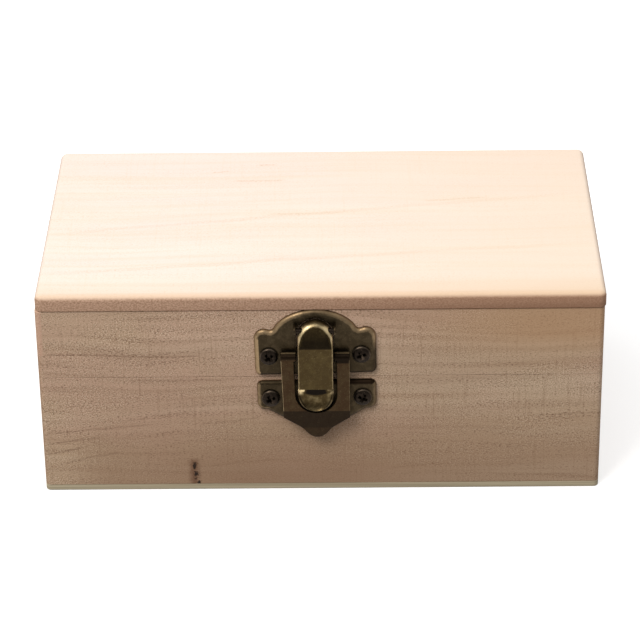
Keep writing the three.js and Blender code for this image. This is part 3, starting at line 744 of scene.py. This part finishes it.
def shield_outline():
    slant = bend((0, SHIELD_TIP), (3.4, SHIELD_TIP), (3.4, SLANT_FOOT - 1.0), (LEAF_HALF, SLANT_FOOT), steps=28)
    points = mirrored(
        slant,
        line((LEAF_HALF, SLANT_FOOT), (SLANT_TOP, WING_FOOT), 6),
        arc(SHIELD_HALF - WING_CORNER, WING_FOOT + WING_CORNER, WING_CORNER, WING_CORNER, 270, 360, 12),
        arc(SHIELD_HALF - PLATE_CORNER, LOWER_HEAD - PLATE_CORNER, PLATE_CORNER, PLATE_CORNER, 0, 90, 10),
        line((SHIELD_HALF - PLATE_CORNER, LOWER_HEAD), (0, LOWER_HEAD), 12),
    )
    return tilted(points, (WING_FOOT + LOWER_HEAD) / 2, SHIELD_TILT) + [SHIELD_SHIFT, 0]


def pressed_plate(name, points):
    """Flat at the back, and in front a field whose rim is drawn down to a thin edge."""
    rings = [ring(points, SEAT), ring(points, PLATE_EDGE)]
    # The rim's rings grow bright towards the edge: partly wear, partly painted highlight
    rub_and_sheen = [0.2, 0.6]
    for t in quarter(8)[1:]:
        inset = RIM_WIDTH * (1 - math.cos(t))
        height = PLATE_EDGE + (PLATE_FACE - PLATE_EDGE) * math.sin(t)
        rings.append(ring(drawn_in(points, inset), height))
        rub_and_sheen.append(0.75 * (1.0 - (2 * t / math.pi) ** 4))
    return lofted(name, rings, on_latch, MATERIALS["plate"], wear_and_light=rub_and_sheen)


def screw_rise(tilt):
    """How far a tilted plate lifts its right screw above its middle."""
    return LATCH_SCREW_X * math.tan(math.radians(tilt))


def screw_holes(x, z, tilt):
    profile = [(LATCH_SCREW_HOLE, -1), (LATCH_SCREW_HOLE, 3)]
    places = [(x + side * LATCH_SCREW_X, z + side * screw_rise(tilt)) for side in (-1, 1)]
    return [turned("hole", profile, on_latch, MATERIALS["plate"], centre=place, sides=24) for place in places]


def crown_wear_and_light(x, z, s, first):
    """The rim carries a painted highlight on the left, where the lamp stands, and painted shade on the lower right
    side; it is darker at the foot and less bright in the middle of the arch.
    """
    if z < UPPER_FOOT + RIM_WIDTH + 0.02 * x and abs(x) < PLATE_HALF - PLATE_CORNER:
        return -0.4 * first
    if z < LOBE_TOP - 2.5:
        return min(3.0 * first, 0.85) if x < 0 else -0.7 * first
    left = portion(x, -2, -6)
    return first * (1.1 + 0.2 * left - 0.5 * (1 - left) * math.exp(-(((x + 0.5) / 4.0) ** 2)))


def shield_wear_and_light(x, z, s, first):
    """Sides polished bright, partly wear and partly painted highlight, more on the left where the lamp stands; the
    slants and wing feet duller; the band below the head carries a painted dark reflection, deepest on the right,
    under a thin painted highlight along its edge, brighter on the left.
    """
    if LOWER_HEAD - z + 0.01 * x < min(RIM_WIDTH * 1.05, SHIELD_HALF - abs(x - SHIELD_SHIFT)):
        return (1.0 if x < 0 else 0.5) if s < PLATE_EDGE + 0.1 else first * (-0.2 if x < 0 else -2.2)
    return first * (0.4 if z < WING_FOOT + 0.6 else 0.95 if x < 0 else 0.65)


def make_upper_plate():
    plate = pressed_plate("latch_crown_plate", crown_outline())
    rubbed_and_lit(plate, crown_wear_and_light)
    inner = EAR_INNER
    foot = LEAF_PIN_Z + LEAF_KNUCKLE / 2 + 0.25
    metal = MATERIALS["plate"]
    points = mirrored(line((0, foot), (inner, foot), 4), arc(0, WINDOW_TOP - inner, inner, inner, 0, 90, 24))
    window = slab("window", points, -1, 3, on_latch, metal)
    combined(plate, [window, *screw_holes(0.0, UPPER_SCREW_Z, CROWN_TILT)], "DIFFERENCE")
    # An ear each side of the lever, dark with painted shade, and the rolled tongue in the middle of the hasp hinge
    ear = outline(
        arc(LEVER_PIN_S, LEVER_PIN_Z, EAR_ROUND, EAR_ROUND, -90, 90, 20),
        [(SEAT + 0.2, LEVER_PIN_Z + EAR_ROUND), (SEAT + 0.2, LEVER_PIN_Z - EAR_ROUND)],
    )
    ears = [
        slab("ear", ear, x, x + EAR_SHEET, on_latch_side, metal, edge=0.08, wear_and_light=-1.0)
        for x in (-inner - EAR_SHEET, inner)
    ]
    ends = (-TONGUE_HALF, TONGUE_HALF)
    roll = rod("roll", LEAF_KNUCKLE / 2, *ends, LEAF_PIN_Z, LEAF_PIN_S, on_latch, metal, edge=0.1)
    foot = LEAF_PIN_Z - LEAF_KNUCKLE / 2
    root = np.array([(SEAT + 0.2, foot), (LEAF_PIN_S, foot), (LEAF_PIN_S, LEAF_PIN_Z), (SEAT + 0.2, LEAF_PIN_Z)])
    neck = slab("neck", root, *ends, on_latch_side, metal, wear_and_light=0.0)
    combined(plate, [*ears, roll, neck], "UNION")
    finish_piece(plate, "lid", "aged_bronze", "latch_upper_plate")


def make_lower_plate():
    plate = pressed_plate("latch_shield_plate", shield_outline())
    rubbed_and_lit(plate, shield_wear_and_light)
    combined(plate, screw_holes(SHIELD_SHIFT, LOWER_SCREW_Z, SHIELD_TILT), "DIFFERENCE")
    k = KEEPER
    nose = outline(
        [(SEAT + 0.2, k["low"]), (k["front"], k["low"])],
        bend((k["front"], k["low"]), (k["front"], k["high"]), (PLATE_FACE, k["high"]), steps=8),
        [(SEAT + 0.2, k["high"])],
    )
    metal = MATERIALS["plate"]
    keeper = slab("keeper", nose, -k["half"], k["half"], on_latch_side, metal, edge=0.08, wear_and_light=0.5)
    combined(plate, [keeper], "UNION")
    finish_piece(plate, "body", "aged_bronze", "latch_lower_plate")


def hang(z):
    """How far down the leaf a height lies: nought at its pin, one at its shoulders."""
    return max(LEAF_PIN_Z - z, 0.0) / (LEAF_PIN_Z - LEAF_SHOULDER)


def make_leaf():
    """A sheet hung from two rolled knuckles, slotted for the lever, with its point bent back."""
    slot = arc(0, SLOT_FOOT + SLOT_HALF, SLOT_HALF, SLOT_HALF, -90, 0, 24)
    tip = bend((0, LEAF_TIP), (2.1, LEAF_TIP), (2.5, LEAF_TIP + 1.9), (4.2, LEAF_TIP + 3.2), steps=20)
    top = LEAF_PIN_Z + 0.1
    points = mirrored(
        tip,
        line(tip[-1], (LEAF_HALF, LEAF_SHOULDER), 4),
        line((LEAF_HALF, LEAF_SHOULDER), (LEAF_HALF, top), 24),
        line((LEAF_HALF, top), (EAR_INNER, top), 4),
        line((EAR_INNER, top), (EAR_INNER, SLOT_TOP), 4),
        line((SLOT_HALF, SLOT_TOP), (SLOT_HALF, SLOT_FOOT + SLOT_HALF), 20),
        slot[::-1],
    )
    # The top of the sheet runs into the rolls, a hair behind their fronts
    high = LEAF_PIN_S + LEAF_KNUCKLE / 2 - 0.03
    low = high - LEAF_SHEET
    metal = MATERIALS["leaf"]
    leaf = slab("latch_slotted_leaf", points, low, high, on_latch, metal, edge=0.2)
    levels = [LEAF_BEND + 0.12 * k for k in (-2, -1, 0, 1, 2)] + [ARM_SHADE_LINE - 0.05, ARM_SHADE_LINE + 0.1]
    sliced(leaf, [((0, 0, z), (0, 0, 1)) for z in levels])
    slope = LEAF_SETBACK / (LEAF_BEND - LEAF_TIP)

    def bent(x, z, s):
        below = max(LEAF_BEND - z, 0.0)
        return x * (1 - LEAF_NARROWING * hang(z)) + LEAF_LEAN * hang(z), z, s - slope * below

    moved(leaf, bent)

    def leaf_wear_and_light(x, z, s, first):
        """Painted highlights along the outer edges and on the tops of the rolls, brighter on the left; painted shade
        on the bent point and on the tops of the arms.
        """
        if z > LEAF_PIN_Z + 1.05:
            return 1.0 if x < 0 else 0.85
        if z < LEAF_BEND - 0.1:
            return -0.75 if z > 18.5 else -0.48
        out = abs(x - LEAF_LEAN * hang(z)) / (1 - LEAF_NARROWING * hang(z))
        sheet = math.hypot(z - LEAF_PIN_Z, s - LEAF_PIN_S) > LEAF_KNUCKLE / 2 + 0.01
        if sheet and s > high - 0.19 and out > LEAF_HALF - 0.14:
            return 0.75 if x < 0 else 0.45
        if z > (ARM_SHADE_LINE if x > 0 else ARM_SHADE_LINE + 1):
            return -1.0 if x > 0 else -0.85
        return 0.0

    pin = (LEAF_PIN_Z, LEAF_PIN_S, on_latch, metal)
    bore = rod("bore", LEAF_BORE / 2, -LEAF_HALF - 1, LEAF_HALF + 1, *pin)
    combined(leaf, [bore], "DIFFERENCE")
    stretches = ((-LEAF_HALF, -EAR_INNER), (EAR_INNER, LEAF_HALF))
    rolls = [tube(LEAF_KNUCKLE / 2, LEAF_BORE / 2, a, b, *pin) for a, b in stretches]
    leaf = joined("latch_slotted_leaf", [leaf, *rolls])
    rubbed_and_lit(leaf, leaf_wear_and_light)
    finish_piece(leaf, "hasp", "aged_bronze", "latch_hasp_leaf")


def lever_inside(x, z):
    """How far a point lies inside the lever's round-ended outline."""
    middle = min(max(z, LEVER_FOOT + LEVER_HALF), LEVER_TOP - LEVER_HALF)
    return LEVER_HALF - math.hypot(x, z - middle)


def lever_front(x, z):
    """How far the front of the lever stands out: brow, flat face, then the bill under a straight step."""
    inside = max(lever_inside(x, z), 0.0)
    # The rounding of the edge is widest over the head
    share = portion(z, BROW - 1.0, BROW + 2.0)
    radius = LEVER_ROUND + (HEAD_ROUND - LEVER_ROUND) * share * share * (3 - 2 * share)
    drop = radius - math.sqrt(radius**2 - max(radius - inside, 0.0) ** 2)
    if z >= BROW - 0.3:
        # The brow bends back from the face over 0.6 mm
        rise = z - BROW
        rise = (rise + 0.3) ** 2 / 1.2 if rise < 0.3 else rise
        return LEVER_FACE - (LEVER_FACE - LEVER_HEAD_FACE) / (LEVER_TOP - BROW) * rise - drop
    if z >= FACE_FOOT - 0.02:
        return LEVER_FACE - drop
    below = FACE_FOOT - z
    ledge = LEVER_FACE - LEDGE_DEPTH * max(0.0, 1 - below / LEDGE_HEIGHT) ** 1.5
    reach = 1 - (x / SCOOP_HALF) ** 2 - (below / SCOOP_LENGTH) ** 2
    scoop = LEVER_FACE - SCOOP_DEPTH * math.sqrt(reach) if reach > 0 else LEVER_FACE
    return min(ledge, scoop, LEVER_FACE - drop)


def lever_wear_and_light(x, z, s, first):
    """A painted dark reflection on the brow and a painted shadow under the step; bright metal round the head, partly
    wear and partly painted highlight; painted highlights at the corners of the bill and a faint painted sheen on the
    bill.
    """
    inside = lever_inside(x, z)
    if s < lever_behind(z) + 0.1:
        return 0.0
    if z >= FACE_FOOT - 0.02:
        # Round the head the edge is bright: partly wear, partly painted highlight
        high = portion(z, BROW, BROW + 3.5)
        width = 0.3 + 0.65 * high
        rim = (0.5 + 0.5 * high) * portion(inside, 1.6 * width, 0.6 * width)
        # Painted shade: the top of the head, where it turns back into the window, is less bright
        rim *= 1 - 0.5 * portion(z, 44.6, 45.8)
        rim -= 0.3 * portion(z, 44.4, 46.4) * portion(inside, 0.45, 0.15)
        # Above the brow the face carries a painted dark reflection
        return rim if z <= BROW else rim - 0.8 * portion(inside, 0.8 * width, 1.8 * width)
    # Under the step the recess carries a painted shadow as far down as it hides from the light, between two painted
    # highlights at its corners, brighter on the left; the rest of the bill carries a faint painted sheen
    below = FACE_FOOT - z
    corner = portion(abs(x), 1.9, 2.7) * portion(below, 2.0, 0.9) * (1.0 if x < 0 else 0.72)
    shade = portion(below + 0.1 * x * x, 2.45, 2.1)
    return max(corner, 0.22) - 1.4 * shade * (1 - corner)


def lever_behind(z):
    if z >= HEAD_FOOT:
        return LEVER_HEAD_BACK
    if z <= HEAD_FOOT - HEAD_SLANT:
        return LEVER_BACK
    return LEVER_BACK + (LEVER_HEAD_BACK - LEVER_BACK) * (z - HEAD_FOOT + HEAD_SLANT) / HEAD_SLANT


def make_lever():
    """A round-ended hollow pressing: deep arched head, sloping brow, flat face and a scooped bill."""
    half = LEVER_HALF
    points = rounded_box(-half, half, LEVER_FOOT, LEVER_TOP, [half] * 4, 24)
    insets = [HEAD_ROUND * (k / 12) ** 1.6 for k in range(1, 13)]
    rings = [ring(points, 0.0), ring(points, LEVER_FACE)]
    rings += [ring(drawn_in(points, inset), LEVER_FACE) for inset in insets]
    lever = lofted("latch_duckbill_lever", rings, on_latch, MATERIALS["lever"], wear_and_light=[0.0] * len(rings))
    levels = list(np.arange(LEVER_FOOT + 0.2, FACE_FOOT - 0.1, 0.2))
    levels += [FACE_FOOT - 0.05, FACE_FOOT] + [BROW + 0.1 * k for k in range(-3, 4)]
    levels += [HEAD_FOOT - HEAD_SLANT, HEAD_FOOT]
    cuts = [((0, 0, z), (0, 0, 1)) for z in levels]
    cuts += [((LATCH_X + x, 0, 0), (1, 0, 0)) for x in np.arange(-4.0, 4.01, 0.25)]
    sliced(lever, cuts)

    def shaped(x, z, s):
        behind = lever_behind(z)
        return x, z, behind if s < 0.01 else max(lever_front(x, z), behind + 0.05)

    moved(lever, shaped)
    rubbed_and_lit(lever, lever_wear_and_light)
    metal = MATERIALS["lever"]
    hollow_half = half - LEVER_SKIN
    radii = [0.1, 0.1, hollow_half, hollow_half]
    plan = rounded_box(-hollow_half, hollow_half, FACE_FOOT + LEVER_SKIN, LEVER_TOP - LEVER_SKIN, radii, 16)
    hollow = slab("hollow", plan, 0, 10, on_latch, metal)
    deep = LEVER_FACE - LEVER_SKIN
    head = (LEVER_HEAD_FACE - LEVER_SKIN, LEVER_TOP)
    side = np.array([(0, FACE_FOOT), (deep, FACE_FOOT), (deep, BROW), head, (0, LEVER_TOP)])
    across = slab("across", side, -half - 1, half + 1, on_latch_side, metal)
    combined(hollow, [across], "INTERSECT")
    bore = rod("bore", LEVER_BORE / 2, -half - 1, half + 1, LEVER_PIN_Z, LEVER_PIN_S, on_latch, metal)
    combined(lever, [hollow, bore], "DIFFERENCE")
    k = CATCH
    plan = rounded_box(-k["half"], k["half"], k["low"], k["high"], [0.2] * 4)
    catch = slab("catch", plan, k["reach"], LEVER_BACK + 0.25, on_latch, metal, edge=0.1)
    combined(lever, [catch], "UNION")
    # It hangs a little to the right between its ears
    moved(lever, lambda x, z, s: (x + LEVER_SHIFT, z, s))
    finish_piece(lever, "lever", "worn_bronze", "latch_lever")


def make_latch_pins():
    rows = (
        ("lever", LEVER_PIN, EAR_INNER + EAR_SHEET + 0.05, LEVER_PIN_Z, LEVER_PIN_S),
        ("hasp", LEAF_PIN, LEAF_HALF, LEAF_PIN_Z, LEAF_PIN_S),
    )
    for word, thick, half, z, s in rows:
        pin = rod(f"{word}_pivot_pin", thick / 2, -half, half, z, s, on_latch, MATERIALS["screw"], edge=0.1)
        finish_piece(pin, "lid", "dark_steel", f"{word}_pin")


# Screws


def screw_blank(name, head, dome, rim, shank, length, sunk, cross):
    """One screw that points along z, its head seat at zero, with a crossed recess that narrows inwards."""
    profile = [(0.0, -length), (shank, 1.5 - length), (shank, -sunk), (head, 0.0)]
    profile += [(head * math.cos(t), rim + (dome - rim) * math.sin(t)) for t in quarter(8)]
    rub_and_sheen = lambda r, h: 0.45 if 0.9 * head < r <= head and h > 0 else 0.0
    steel = MATERIALS["screw"]
    blank = turned(name, profile, as_is, steel, wear_and_light=rub_and_sheen)
    reach, narrow, depth = cross
    corners = ((-1, -1), (1, -1), (1, 1), (-1, 1))
    cutters = []
    for turn in (0, 1):
        foot = [(0.35 * reach * x, 0.4 * narrow * y, dome - depth) for x, y in corners]
        mouth = [(reach * x, narrow * y, dome + 0.1) for x, y in corners]
        tool = lofted("recess", [foot, mouth], as_is, steel)
        tool.data.transform(Matrix.Rotation(math.radians(90 * turn), 4, "Z"))
        cutters.append(tool)
    return combined(blank, cutters, "DIFFERENCE")


def screw_pair_tree():
    """Sets the screw at both ends of a line, each with its own turn, with named sizes as inputs."""
    tree = bpy.data.node_groups.new("screw_pair", "GeometryNodeTree")
    kinds = {"Screw": "Geometry", "Middle": "Vector", "Upright": "Vector", "Metal": "Material"}
    for name in ("Screw", "Middle", "Half Spacing", "Rise", "Upright", "First Turn", "Second Turn", "Metal"):
        socket = "NodeSocket" + kinds.get(name, "Float")
        tree.interface.new_socket(name, in_out="INPUT", socket_type=socket)
    tree.interface.new_socket("Screws", in_out="OUTPUT", socket_type="NodeSocketGeometry")
    add = partial(add_node, tree)
    given = add("NodeGroupInput", out=None)
    shift = add("xyz", given["Half Spacing"], 0.0, given["Rise"])
    start, end = (add("ShaderNodeVectorMath", given["Middle"], shift, operation=how) for how in ("SUBTRACT", "ADD"))
    places = add("GeometryNodeMeshLine", {"Count": 2, "Start Location": start, "Offset": end}, mode="END_POINTS")
    index = add("GeometryNodeInputIndex")
    turn = add("ShaderNodeMapRange", {"Value": index, "To Min": given["First Turn"], "To Max": given["Second Turn"]})
    spun = add("FunctionNodeEulerToRotation", add("xyz", 0.0, 0.0, turn))
    stood = add("FunctionNodeEulerToRotation", given["Upright"])
    whole = add("FunctionNodeRotateRotation", {"Rotation": stood, "Rotate By": spun}, rotation_space="LOCAL")
    copies = add("GeometryNodeInstanceOnPoints", {"Points": places, "Instance": given["Screw"], "Rotation": whole})
    real = add("GeometryNodeRealizeInstances", copies)
    add("NodeGroupOutput", add("GeometryNodeSetMaterial", {"Geometry": real, "Material": given["Metal"]}), out=None)
    return tree


def screw_pair(tree, blank, middle, half, upright, turns, rise=0.0):
    """A mesh of two screws, from the tree and the blank."""
    holder = in_scene("pair", blank.data.copy())
    step = holder.modifiers.new("screws", "NODES")
    step.node_group = tree
    values = {
        "Middle": [c * MM for c in middle],
        "Half Spacing": half * MM,
        "Rise": rise * MM,
        "Upright": [math.radians(c) for c in upright],
        "First Turn": math.radians(turns[0]),
        "Second Turn": math.radians(turns[1]),
        "Metal": MATERIALS["screw"],
    }
    for socket in tree.interface.items_tree:
        if socket.in_out == "INPUT" and socket.name in values:
            step[socket.identifier] = values[socket.name]
    return settled(holder)


def make_screws():
    tree = screw_pair_tree()
    latch_blank = screw_blank("latch_blank", 2.15, 1.05, 0.25, 0.9, 5.0, 0.0, (1.35, 0.46, 0.9))
    hinge_blank = screw_blank("hinge_blank", 1.6, 0.2, 0.0, 0.8, 5.0, 0.7, (1.0, 0.24, 0.6))
    out = PLATE_FACE + SEAT
    facing = (90, 0, 0)
    rows = (
        ("upper", "lid", 0.0, UPPER_SCREW_Z, CROWN_TILT, (40, 20)),
        ("lower", "body", SHIELD_SHIFT, LOWER_SCREW_Z, SHIELD_TILT, (30, 65)),
    )
    for row, body, x, z, tilt, turns in rows:
        pair = screw_pair(tree, latch_blank, on_latch(x, z, out), LATCH_SCREW_X, facing, turns, screw_rise(tilt))
        pair.name = f"latch_screws_{row}"
        nodes = [f"latch_screw_{row}_{side}" for side in ("left", "right")]
        finish_piece(pair, body, "dark_steel", *nodes)
    behind = (90, 0, 180)
    seat = BACK_FACE + SEAT + HINGE_SHEET
    for body, rise, turns in (("lid", HINGE_SCREW_RISE, (10, 55)), ("body", -HINGE_SCREW_RISE, (75, 30))):
        places = [(side * HINGE_X, seat, SEAM + rise) for side in (-1, 1)]
        pairs = [screw_pair(tree, hinge_blank, place, HINGE_SCREW_X, behind, turns) for place in places]
        whole = joined(f"hinge_screws_{body}", pairs)
        nodes = [f"{side}_hinge_screw_{body}_{end}" for side in ("left", "right") for end in ("left", "right")]
        finish_piece(whole, body, "dark_steel", *nodes)
    for blank in (latch_blank, hinge_blank):
        bpy.data.objects.remove(blank)


# Hinges


def hinge_leaf(name, side, up, stretches, others):
    """A plate with countersunk holes and rolled knuckles, above the pin or below it."""
    metal = MATERIALS["plate"]
    place = lambda x, z, s: on_hinge(side)(x, SEAM + up * z, s)
    points = rounded_box(-HINGE_HALF, HINGE_HALF, 0.0, HINGE_HEIGHT, [0.2, 0.2, 1.5, 1.5], 12)
    leaf = slab(name, points, SEAT, SEAT + HINGE_SHEET, place, metal, edge=0.12)
    clear = BARREL / 2 + 0.25
    plans = [rounded_box(a - HINGE_PLAY, b + HINGE_PLAY, -3, clear, [0.02] * 4, 1) for a, b in others]
    gaps = [slab("gap", plan, -1, 4, place, metal) for plan in plans]
    hole = HINGE_PIN / 2 + 0.1
    bore = rod("bore", hole, -HINGE_HALF - 1, HINGE_HALF + 1, 0, BARREL_S, place, metal)
    face = SEAT + HINGE_SHEET
    profile = [(0.95, -1), (0.95, face - 0.7), (1.75, face + 0.02), (1.75, face + 1)]
    centres = [(x, HINGE_SCREW_RISE) for x in (-HINGE_SCREW_X, HINGE_SCREW_X)]
    sinks = [turned("sink", profile, place, metal, centre=centre) for centre in centres]
    combined(leaf, [*gaps, bore, *sinks], "DIFFERENCE")
    rolls = [tube(BARREL / 2, hole, a, b, 0, BARREL_S, place, metal) for a, b in stretches]
    return joined(name, [leaf, *rolls])


def make_hinges():
    middle = [(-MIDDLE_HALF, MIDDLE_HALF)]
    apart = MIDDLE_HALF + HINGE_PLAY
    ends = [(-HINGE_HALF, -apart), (apart, HINGE_HALF)]
    for word, side in (("left", -1), ("right", 1)):
        lid_leaf = hinge_leaf(f"{word}_hinge_upper", side, 1, middle, ends)
        finish_piece(lid_leaf, "lid", "aged_bronze", f"{word}_hinge_lid_leaf")
        body_leaf = hinge_leaf(f"{word}_hinge_lower", side, -1, ends, middle)
        finish_piece(body_leaf, "body", "aged_bronze", f"{word}_hinge_body_leaf")
        span = (-HINGE_HALF, HINGE_HALF, SEAM, BARREL_S)
        pin = rod(f"{word}_hinge_rod", HINGE_PIN / 2, *span, on_hinge(side), MATERIALS["screw"], edge=0.15)
        finish_piece(pin, "body", "dark_steel", f"{word}_hinge_pin")


# Floor, light and camera


def pale_floor():
    """A pale floor that the camera and the metal see as white, with the soft shadow of the box."""
    mesh = bpy.data.meshes.new("floor")
    half = 5.0
    mesh.from_pydata([(-half, -half, 0), (half, -half, 0), (half, half, 0), (-half, half, 0)], [], [(0, 1, 2, 3)])
    floor = in_scene("floor", mesh)
    # A hair below the box, so that their faces don't meet
    floor.location.z = -0.02 * MM
    grey = linear("#77736e")
    material, shader, add = new_material("floor_paper", Base_Color=grey, Roughness=0.9, Specular_IOR_Level=0.0)
    seen = add("ShaderNodeLightPath", out=None)
    mirrored_ray = add("larger", seen["Is Glossy Ray"], seen["Is Transmission Ray"])
    shown = add("larger", seen["Is Camera Ray"], mirrored_ray)
    paper = add("ShaderNodeBsdfDiffuse", {"Color": "#e6e6e6"})
    glow = add("ShaderNodeEmission", {"Color": "#ffffff", "Strength": 0.5})
    white = add("ShaderNodeAddShader", paper, glow)
    mix = add("ShaderNodeMixShader", shown, shader.outputs[0], white)
    feed(material.node_tree.nodes["Material Output"], Surface=mix)
    mesh.materials.append(material)


def soft_lamp(name, place, aim, size, watts, tint):
    lamp = bpy.data.lights.new(name, "AREA")
    lamp.shape = "SQUARE"
    lamp.size = size
    lamp.energy = watts
    lamp.color = linear(tint)[:3]
    holder = in_scene(name, lamp)
    holder.location = place
    holder.rotation_euler = (Vector(aim) - Vector(place)).to_track_quat("-Z", "Y").to_euler()


def overhead_light():
    """A dim room under a wide white ceiling, as the soft light of a product table."""
    world = bpy.data.worlds.new("studio")
    world.use_nodes = True
    scene.world = world
    add = partial(add_node, world.node_tree)
    height = add("ShaderNodeSeparateXYZ", add("ShaderNodeTexCoord", out="Generated"), out="Z")
    background = world.node_tree.nodes["Background"]
    background.inputs["Color"].default_value = linear("#ffffff")
    feed(background, Strength=add("step", height, 0.0, 0.7, 0.12, 0.85))


def studio():
    pale_floor()
    overhead_light()
    soft_lamp("key_lamp", (-0.38, -0.48, 0.77), (0, 0, 0.03), 0.42, 5.3, "#fffaf4")


def photo_camera():
    """The photograph's view, fitted to eight corners of the case and then to its outline."""
    camera = bpy.data.cameras.new("photo_camera")
    camera.sensor_width = 36.0
    camera.lens = 161.7
    camera.clip_start = 0.01
    camera.clip_end = 20.0
    holder = in_scene("photo_camera", camera)
    right = Vector((0.999896, 0.006703, -0.012748))
    up = Vector((0.00786, 0.487727, 0.872961))
    back = right.cross(up).normalized()
    up = back.cross(right).normalized()
    place = Vector((8.022, -609.149, 364.724)) * MM
    turn = Matrix((right.normalized(), up, back)).transposed().to_4x4()
    holder.matrix_world = Matrix.Translation(place) @ turn
    scene.camera = holder


scene.view_settings.view_transform = "Standard"
photo_camera()
make_boards()
make_upper_plate()
make_lower_plate()
make_leaf()
make_lever()
make_latch_pins()
make_screws()
make_hinges()
studio()
